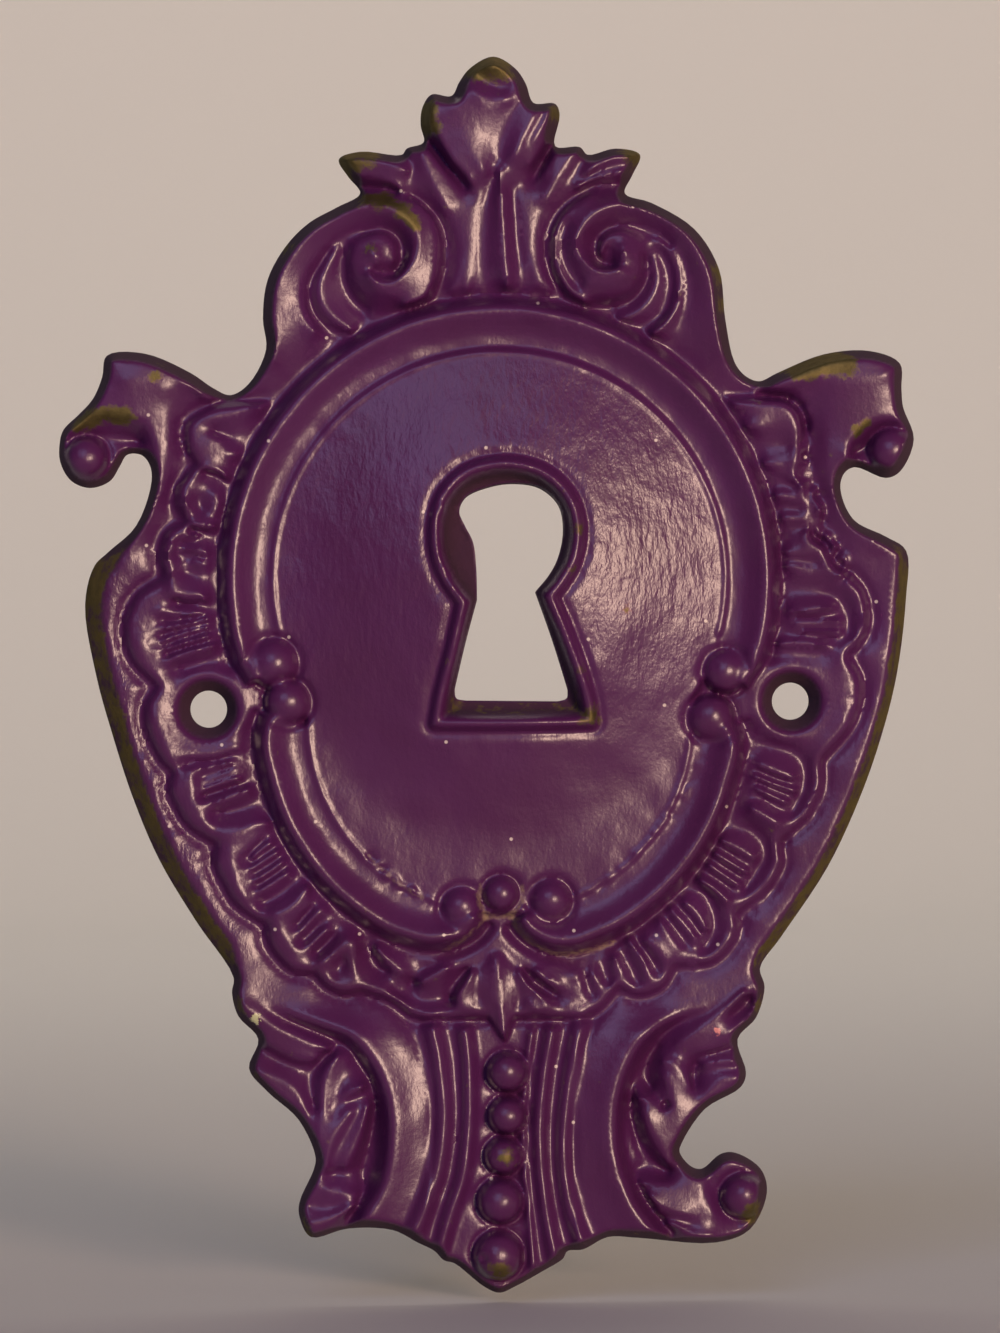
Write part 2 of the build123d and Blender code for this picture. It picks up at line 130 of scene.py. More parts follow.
# Carving inside the lobes: height at the start and the end, then points.
# Ridges stand, grooves and scoops lie low.
SHELL_LINES = [
    # Left side, from the top down.
    (2.92, 2.77, [(-19.35, 18.45), (-18.0, 18.45), (-16.7, 18.8)]),
    (2.15, 2.15, [(-18.4, 17.7), (-17.9, 17.45), (-16.9, 17.15)]),
    (2.84, 2.77, [(-18.9, 17.4), (-18.4, 17.25), (-17.8, 17.0)]),
    (2.92, 2.77, [(-18.9, 16.7), (-17.9, 16.37), (-16.9, 16.1)]),
    (3.08, 2.92, [(-19.35, 15.75), (-19.15, 15.35), (-18.3, 15.1), (-17.5, 14.65)]),
    (1.99, 1.99, [(-19.0, 15.0), (-18.1, 14.8), (-17.5, 14.35)]),
    (3.15, 3.15, [(-19.87, 14.45), (-20.2, 14.1), (-20.3, 13.5), (-20.2, 12.9), (-19.97, 12.1)]),
    (2.53, 2.84, [(-18.75, 13.55), (-18.1, 13.55)]),
    (2.53, 2.84, [(-18.6, 13.0), (-17.95, 13.0)]),
    (2.53, 2.84, [(-18.7, 12.6), (-18.1, 12.5)]),
    (2.22, 2.15, [(-19.4, 13.4), (-19.2, 12.5)]),
    (3.08, 3.00, [(-19.97, 11.7), (-19.15, 11.5), (-18.3, 11.5)]),
    (1.99, 1.99, [(-19.87, 11.3), (-18.95, 11.1), (-18.3, 11.1)]),
    (3.15, 3.15, [(-20.96, 11.15), (-21.2, 10.3), (-21.3, 9.4), (-21.15, 8.35), (-21.1, 7.4),
                  (-20.96, 7.06)]),
    (2.84, 2.77, [(-20.4, 10.85), (-19.35, 10.95)]),
    (2.15, 2.15, [(-20.6, 10.5), (-18.75, 10.7)]),
    (2.84, 2.84, [(-20.4, 10.05), (-19.8, 10.1), (-18.75, 9.8)]),
    (2.22, 2.22, [(-20.7, 9.7), (-18.95, 9.45)]),
    (2.77, 2.77, [(-19.55, 9.4), (-18.75, 9.05)]),
    (2.22, 2.22, [(-20.3, 8.6), (-19.3, 8.3)]),
    (3.15, 3.00, [(-20.96, 7.06), (-19.97, 6.95), (-19.35, 7.15), (-18.85, 6.8)]),
    (1.99, 2.15, [(-20.9, 6.65), (-19.8, 6.5), (-18.8, 6.4)]),
    (2.92, 2.92, [(-22.05, 6.0), (-20.6, 5.92), (-19.1, 5.97)]),
    (2.22, 2.22, [(-21.85, 5.45), (-20.4, 5.52), (-18.95, 5.78)]),
    (2.92, 2.92, [(-22.15, 4.85), (-20.4, 5.17), (-18.8, 5.55)]),
    (2.30, 2.30, [(-21.95, 4.45), (-20.4, 4.9), (-18.75, 5.3)]),
    (2.84, 2.84, [(-21.73, 4.05), (-20.4, 4.62), (-18.75, 5.04)]),
    (2.22, 2.22, [(-21.7, 3.85), (-20.4, 4.28), (-18.7, 4.8)]),
    (2.92, 2.92, [(-22.15, 3.55), (-21.0, 3.78), (-18.7, 4.5)]),
    (2.22, 2.22, [(-21.5, 3.25), (-20.4, 3.65), (-18.3, 4.2)]),
    (3.00, 3.00, [(-21.42, 2.9), (-20.2, 3.4), (-18.3, 3.9)]),
    (3.00, 3.00, [(-23.25, 4.95), (-23.0, 3.6)]),
    (1.99, 1.99, [(-20.9, 2.3), (-19.8, 2.5), (-18.4, 3.0)]),
    (3.00, 2.92, [(-22.1, -0.5), (-21.75, -1.55), (-21.4, -2.45), (-21.2, -3.3)]),
    (2.84, 2.77, [(-20.9, -3.45), (-19.65, -3.25), (-18.4, -3.25), (-16.8, -2.7)]),
    (2.22, 2.22, [(-20.4, -3.8), (-18.7, -3.6), (-17.0, -3.2)]),
    (2.92, 2.84, [(-20.0, -4.05), (-18.75, -3.95), (-17.1, -3.65)]),
    (3.08, 3.00, [(-19.9, -4.05), (-19.73, -5.5), (-19.46, -6.76), (-18.56, -7.84)]),
    (2.30, 2.30, [(-19.2, -4.7), (-17.84, -4.15), (-17.0, -3.9)]),
    (2.77, 2.77, [(-19.1, -4.96), (-17.84, -4.45), (-16.94, -4.1)]),
    (2.38, 2.38, [(-19.1, -5.2), (-17.84, -4.7), (-16.8, -4.4)]),
    (2.84, 2.84, [(-19.28, -5.45), (-17.84, -4.95), (-16.8, -4.65)]),
    (2.07, 2.07, [(-19.1, -5.9), (-17.5, -5.35), (-16.2, -5.0)]),
    (3.00, 2.84, [(-19.28, -6.35), (-18.0, -6.13), (-17.1, -5.7), (-16.04, -5.4)]),
    (1.99, 1.99, [(-18.3, -7.0), (-17.0, -6.75), (-15.8, -6.3)]),
    (3.15, 2.92, [(-17.84, -8.2), (-16.6, -8.0), (-15.7, -7.57), (-14.8, -7.6)]),
    (3.08, 3.00, [(-17.3, -9.3), (-17.1, -10.5), (-16.94, -11.6), (-16.2, -12.5)]),
    (2.84, 2.77, [(-16.9, -10.0), (-16.04, -9.0), (-15.5, -8.5)]),
    (2.22, 2.22, [(-16.4, -9.9), (-15.6, -9.1), (-15.1, -8.65)]),
    (2.84, 2.84, [(-15.9, -9.8), (-15.15, -9.1), (-14.6, -8.8)]),
    (2.22, 2.22, [(-16.0, -10.2), (-15.0, -9.5), (-14.4, -9.1)]),
    (2.84, 2.84, [(-16.04, -10.55), (-15.0, -9.85), (-14.25, -9.4)]),
    (2.22, 2.22, [(-15.9, -10.9), (-14.9, -10.3), (-14.1, -9.75)]),
    (2.92, 2.84, [(-15.8, -11.3), (-14.8, -10.7), (-13.9, -10.0)]),
    (2.22, 2.22, [(-15.7, -11.65), (-14.7, -11.05), (-13.7, -10.35)]),
    (2.92, 2.84, [(-15.5, -12.0), (-14.6, -11.4), (-13.5, -10.7)]),
    (1.99, 1.99, [(-15.3, -12.75), (-14.2, -12.2), (-13.2, -11.4)]),
    (3.15, 3.00, [(-14.6, -13.4), (-13.5, -13.05), (-12.8, -12.3), (-12.3, -11.7)]),
    (3.08, 3.00, [(-14.4, -13.6), (-14.07, -14.67), (-13.0, -15.75)]),
    (2.84, 2.77, [(-13.2, -13.75), (-12.3, -12.7)]),
    (2.22, 2.22, [(-13.1, -14.2), (-12.0, -12.95)]),
    (2.92, 2.84, [(-13.0, -14.7), (-11.75, -13.4), (-11.4, -13.1)]),
    (2.15, 2.15, [(-12.7, -15.2), (-11.3, -13.85)]),
    (2.92, 2.84, [(-12.45, -15.65), (-11.0, -14.3)]),
    (1.91, 1.91, [(-11.8, -16.0), (-10.6, -14.8)]),
    (3.15, 3.00, [(-11.55, -16.65), (-10.5, -15.75), (-9.75, -14.95)]),
    (3.08, 2.84, [(-9.3, -15.1), (-9.5, -16.4), (-9.2, -17.4)]),
    (2.15, 2.15, [(-10.5, -17.2), (-10.0, -16.4)]),
    (1.50, 1.60, [(-8.5, -15.2), (-8.3, -16.1), (-7.8, -17.0), (-7.2, -17.2)]),
    (2.84, 2.77, [(-7.9, -15.6), (-7.0, -16.6), (-6.2, -17.2)]),
    (2.77, 2.84, [(-7.4, -18.3), (-6.85, -19.1), (-5.8, -19.6), (-4.65, -19.9), (-3.6, -19.7)]),
    (1.99, 1.99, [(-6.8, -18.3), (-5.6, -18.9), (-4.4, -19.1), (-3.6, -19.0)]),
    # Right side, from the top down.
    (2.84, 2.84, [(15.9, 18.0), (17.1, 17.8)]),
    (2.22, 2.22, [(16.6, 17.1), (18.6, 16.6)]),
    (2.77, 2.61, [(17.0, 15.6), (18.6, 15.3)]),
    (2.22, 2.22, [(17.4, 14.5), (19.0, 14.1)]),
    (2.84, 2.61, [(17.7, 13.5), (18.5, 13.4), (19.3, 13.1)]),
    (2.22, 2.22, [(17.8, 13.0), (19.4, 12.6)]),
    (2.69, 2.61, [(18.1, 12.05), (20.0, 12.1)]),
    (2.22, 2.22, [(18.1, 11.4), (20.0, 11.4)]),
    (2.69, 2.61, [(18.1, 9.9), (20.2, 9.65)]),
    (2.30, 2.30, [(18.2, 9.45), (20.4, 9.15)]),
    (2.69, 2.61, [(18.4, 8.95), (20.6, 8.7)]),
    (2.07, 2.07, [(18.4, 7.4), (20.2, 7.3), (21.6, 7.0)]),
    (3.00, 3.00, [(18.7, 6.0), (20.2, 6.15), (21.35, 6.3)]),
    (2.22, 2.22, [(18.9, 5.6), (22.0, 5.8)]),
    (1.99, 1.99, [(21.9, 6.7), (22.45, 5.95), (22.4, 4.5)]),
    (2.84, 2.84, [(19.05, 5.27), (20.4, 5.32), (21.9, 5.4)]),
    (2.30, 2.30, [(19.3, 5.02), (21.9, 5.07)]),
    (2.84, 2.84, [(19.4, 4.75), (20.9, 4.8), (21.9, 4.65)]),
    (2.22, 2.22, [(17.9, 4.4), (20.0, 4.45), (22.0, 4.25)]),
    (2.92, 2.92, [(17.7, 3.95), (19.4, 4.05), (21.1, 3.85)]),
    (2.30, 2.30, [(17.9, 3.5), (21.0, 3.4)]),
    (1.84, 1.84, [(16.3, -2.5), (17.76, -2.65), (19.3, -3.3), (19.75, -4.4), (19.4, -5.8),
                  (18.8, -6.9)]),
    (2.84, 2.77, [(16.7, -3.8), (17.76, -4.25), (18.95, -4.7)]),
    (2.15, 2.15, [(16.55, -4.2), (17.7, -4.7), (19.1, -5.1)]),
    (2.84, 2.77, [(16.4, -4.55), (17.76, -5.1), (19.0, -5.5)]),
    (2.15, 2.15, [(16.55, -4.95), (17.7, -5.45), (18.9, -5.9)]),
    (2.84, 2.77, [(16.5, -5.3), (17.6, -5.85), (18.5, -6.25)]),
    (2.15, 2.15, [(16.5, -5.75), (17.5, -6.3), (18.3, -6.8)]),
    (3.15, 3.08, [(16.2, -6.6), (17.1, -7.1), (18.0, -7.6)]),
    (1.84, 1.84, [(15.2, -7.9), (16.0, -7.95), (16.95, -8.75), (17.15, -9.6), (16.6, -10.6),
                  (15.8, -11.9)]),
    (2.84, 2.77, [(14.2, -8.6), (15.2, -9.15), (16.4, -9.85)]),
    (2.15, 2.15, [(14.0, -9.05), (15.1, -9.7), (16.2, -10.3)]),
    (2.84, 2.77, [(13.8, -9.45), (14.8, -10.1), (15.9, -10.75)]),
    (2.15, 2.15, [(13.6, -9.85), (14.7, -10.55), (15.7, -11.2)]),
    (2.84, 2.77, [(13.44, -10.2), (14.5, -10.95), (15.4, -11.55)]),
    (2.15, 2.15, [(13.2, -10.7), (14.3, -11.4), (15.1, -12.0)]),
    (3.15, 3.08, [(12.9, -11.2), (13.9, -11.85), (14.7, -12.6)]),
    (1.84, 1.84, [(12.5, -11.7), (13.3, -12.2), (13.85, -13.7), (13.7, -14.95), (13.2, -15.7)]),
    (2.84, 2.77, [(11.9, -12.6), (12.6, -13.3), (13.3, -14.4)]),
    (2.15, 2.15, [(11.4, -12.85), (12.3, -13.8), (13.0, -14.9)]),
    (2.84, 2.77, [(11.0, -13.1), (11.9, -14.1), (12.7, -15.1)]),
    (2.15, 2.15, [(10.5, -13.4), (11.4, -14.5), (12.1, -15.4)]),
    (2.84, 2.77, [(10.3, -13.9), (11.1, -14.9), (11.6, -15.7)]),
    (2.92, 2.77, [(8.3, -15.1), (9.2, -16.2), (9.7, -17.6)]),
    (2.07, 2.07, [(8.7, -15.1), (9.6, -16.2), (10.2, -17.2)]),
    (2.07, 2.07, [(7.9, -15.8), (8.5, -17.0), (8.9, -18.0)]),
    (2.92, 2.77, [(9.4, -15.0), (10.3, -15.9), (10.8, -16.6)]),
    (2.77, 2.69, [(7.4, -16.2), (7.9, -17.4)]),
    (1.99, 1.99, [(6.6, -16.6), (7.1, -17.9)]),
    (2.77, 2.61, [(5.9, -17.1), (6.5, -18.6)]),
    (2.15, 2.15, [(5.4, -17.1), (6.0, -18.7)]),
    (2.77, 2.61, [(4.9, -17.2), (5.5, -18.8)]),
    # Palmette under the boss: wings, side lobes, deep cuts and drilled holes, then the middle rib.
    (3.15, 2.84, [(-1.5, -15.7), (-2.9, -16.6), (-4.1, -17.3), (-5.1, -17.85)]),
    (1.99, 1.99, [(-2.1, -15.6), (-3.4, -16.3), (-5.2, -17.1)]),
    (1.68, 1.84, [(-1.1, -15.4), (-1.9, -16.8), (-2.8, -17.9), (-3.2, -18.6)]),
    (3.23, 2.92, [(-0.6, -15.1), (-1.3, -16.2), (-2.3, -18.0), (-2.75, -18.8), (-2.4, -19.4),
                  (-1.5, -19.5)]),
    (2.53, 2.46, [(-0.7, -16.0), (-1.0, -17.6), (-1.15, -19.0)]),
    (3.46, 3.08, [(-0.37, -14.8), (-0.12, -16.2), (-0.15, -17.6), (-0.45, -19.2)]),
    (2.46, 2.46, [(0.5, -16.8), (0.9, -18.2), (1.2, -19.4)]),
    (3.23, 2.92, [(0.5, -15.7), (1.5, -17.4), (2.6, -18.6), (3.2, -19.2), (3.0, -19.6), (1.9, -19.5)]),
    (1.70, 1.84, [(0.1, -15.0), (0.65, -15.7), (1.35, -16.75), (2.1, -17.75), (3.2, -18.45),
                  (3.7, -18.75)]),
    (3.15, 2.84, [(1.5, -15.9), (2.1, -16.7), (2.8, -17.5), (3.8, -18.2)]),
    (1.20, 1.20, [(-5.6, -17.7), (-5.6, -18.1)]),
    (1.20, 1.20, [(-3.2, -18.7), (-3.2, -19.1)]),
]

# C-scrolls round the boss: ridge circles, and the shape across the ridge as offset outward and height.
UPPER_CENTRE = (0.0, 8.2)
UPPER_RADIUS = 17.25
LOWER_CENTRE = (0.0, -1.0)
LOWER_RADIUS = 15.0
UPPER_ENDS = ([(-15.7, 1.5), (-16.3, 2.7), (-17.0, 5.0)], [(17.0, 5.0), (16.3, 2.6), (15.7, 1.2)])
LOWER_ENDS = ([(-14.6, -0.6), (-15.0, -2.2)], [(15.0, -2.6), (14.6, -1.2)])
LOWER_TAILS = ([(-6.6, -14.4), (-4.5, -14.95), (-3.1, -14.75), (-2.0, -14.2), (-1.4, -13.4)],
               [(1.4, -13.5), (2.0, -14.3), (3.2, -15.0), (4.7, -15.1), (6.6, -14.4)])
RING_PROFILE = [
    (-3.3, 3.34), (-2.9, 3.34), (-2.7, 3.34), (-2.55, 3.28), (-2.3, 3.24), (-1.6, 3.3), (-1.0, 3.6),
    (-0.55, 3.98), (-0.3, 4.16), (0.0, 4.22), (0.2, 4.0), (0.5, 3.2), (0.8, 2.2), (1.05, 1.8),
    (1.35, 2.0), (1.7, 2.4),
]
# Field inside the scrolls: its height, where its lip lies inside the ridge, the lip's width and height.
FIELD = 3.3
LIP = (2.72, 0.22, 0.13)
# Bell of the boss: middle, reach across and up, height, and how fast it falls.
BOSS_CENTRE = (0.4, 8.0)
BOSS_REACH = (14.7, 17.5)
BOSS_PEAK = 6.2
BOSS_FALL = 1.6

# Keyhole: ridge of its rim, the shape across that ridge, and the hole with the casting flash at its left.
RIM = [
    [(-2.35, 6.6), (-3.3, 7.9), (-4.0, 9.6), (-4.1, 11.8), (-3.5, 13.6), (-2.0, 15.0), (0.5, 15.5),
     (2.9, 14.9), (4.5, 13.3), (5.05, 11.3), (4.75, 9.3), (3.9, 7.8), (3.25, 7.0)],
    [(3.25, 7.0), (4.5, 4.0), (5.7, 0.4), (5.9, -1.05)],
    [(5.9, -1.05), (1.0, -1.15), (-4.1, -1.15)],
    [(-4.1, -1.15), (-3.8, 0.6), (-3.0, 3.7), (-2.35, 6.6)],
]
RIM_PROFILE = [
    (-3.0, -2.5), (-1.5, -2.1), (-0.85, -1.5), (-0.62, -0.6), (-0.42, 0.2), (-0.22, 0.56), (0.0, 0.66),
    (0.18, 0.58), (0.34, 0.25), (0.48, -0.15), (0.62, -0.2), (0.85, -0.08), (1.1, 0.0),
]
KEYHOLE = [
    [(-1.45, 6.8), (-1.5, 8.9), (-1.7, 10.5), (-2.2, 11.5), (-2.6, 12.5), (-2.2, 13.4), (-0.6, 14.1),
     (1.0, 14.3), (2.6, 14.0), (3.8, 12.9), (4.1, 11.3), (3.8, 9.6), (3.2, 8.4), (2.3, 7.3)],
    [(2.3, 7.3), (3.4, 4.2), (4.4, 1.0)],
    [(4.4, 1.0), (4.35, 0.45), (3.8, 0.25)],
    [(3.8, 0.25), (-2.2, 0.3)],
    [(-2.2, 0.3), (-2.8, 0.45), (-2.9, 1.0)],
    [(-2.9, 1.0), (-2.2, 4.0), (-1.45, 6.8)],
]
# Screw holes: middles, radius, and the seat's shape as distance from the middle and height.
SCREWS = [(-18.8, -0.26), (18.8, 0.26)]
SCREW_RADIUS = 1.2
SCREW_PROFILE = [(0.0, 0.6), (1.2, 0.6), (1.3, 1.0), (1.75, 1.9), (1.92, 2.45), (2.15, 2.65),
                 (2.6, 2.6), (3.2, 2.45)]

# Curls and beads: x, z, radius, crown height.
CURLS = [
    (-14.5, 2.7, 1.6, 4.3), (-13.6, 0.2, 1.45, 4.2), (14.5, 2.2, 1.4, 4.2), (13.6, -0.8, 1.5, 4.2),
    (-2.45, -13.0, 1.3, 4.1), (3.3, -12.55, 1.35, 4.1), (0.09, -12.1, 1.1, 4.2),
    (0.5, -23.6, 1.25, 4.2), (0.5, -26.4, 1.17, 4.1), (0.26, -29.0, 1.17, 4.0), (0.06, -31.9, 1.42,
    4.2),
    (-0.06, -35.4, 1.55, 4.2),
    (-26.6, 15.95, 1.35, 3.4), (25.3, 16.4, 1.45, 3.4), (15.7, -31.6, 1.4, 3.5),
]

# Foot: ridge of the S-shaped band at each side, the shape across it, and the ribs beside the beads.
BAND_LEFT = [(-16.4, -17.0), (-13.6, -19.2), (-11.4, -20.2), (-9.6, -21.0), (-8.6, -22.0),
             (-7.75, -23.3), (-7.2, -24.6), (-6.9, -26.0), (-6.85, -27.6), (-7.0, -29.4), (-7.5, -31.2),
             (-8.3, -32.6), (-9.2, -34.2)]
BAND_RIGHT = [(16.0, -16.6), (13.6, -18.5), (11.0, -19.7), (9.5, -20.85), (8.6, -21.95), (7.75, -23.7),
              (7.3, -25.4), (7.2, -27.0), (7.3, -28.6), (7.75, -30.4), (8.5, -32.2), (10.2, -34.4)]
BAND_PROFILE = [(-2.9, 2.45), (-2.2, 2.6), (-1.2, 2.85), (-0.4, 3.2), (0.0, 3.3), (0.3, 3.05),
                (0.7, 1.9), (0.95, 1.25), (1.3, 1.3), (1.8, 1.7)]
RIBS = [
    ([(-4.5, -20.4), (-4.0, -22.2), (-3.75, -24.2), (-3.6, -26.0), (-3.75, -28.5), (-4.2, -30.7),
      (-5.0, -32.8), (-5.9, -34.6)], 0.9, 0.75),
    ([(-2.3, -20.6), (-2.05, -22.5), (-1.95, -25.2), (-2.05, -27.8), (-2.4, -30.4), (-3.2, -32.8),
      (-4.0, -35.6)], 0.78, 0.7),
    ([(5.3, -20.2), (4.6, -23.3), (4.2, -26.4), (4.1, -28.9), (4.3, -31.0), (4.75, -33.1),
      (5.6, -35.2)], 0.8, 0.75),
    ([(3.4, -20.6), (2.9, -23.5), (2.6, -26.4), (2.6, -28.9), (2.8, -31.1), (3.15, -33.5),
      (3.7, -36.0)], 0.75, 0.7),
    ([(2.1, -20.8), (1.75, -23.3), (1.5, -26.4), (1.55, -28.9), (1.75, -31.4), (2.0, -33.8),
      (2.2, -36.4)], 0.4, 0.45),
]

# Middle lobe of the palmette: midrib from root to tip, half width, height at the root and the tip,
# crown, and vein, which is raised where it is negative.
LEAVES = [
    ([(-0.2, -16.4), (-0.1, -18.0), (0.1, -19.6), (0.3, -21.4)], 1.3, 2.5, 2.7, 0.35, -0.25),
]

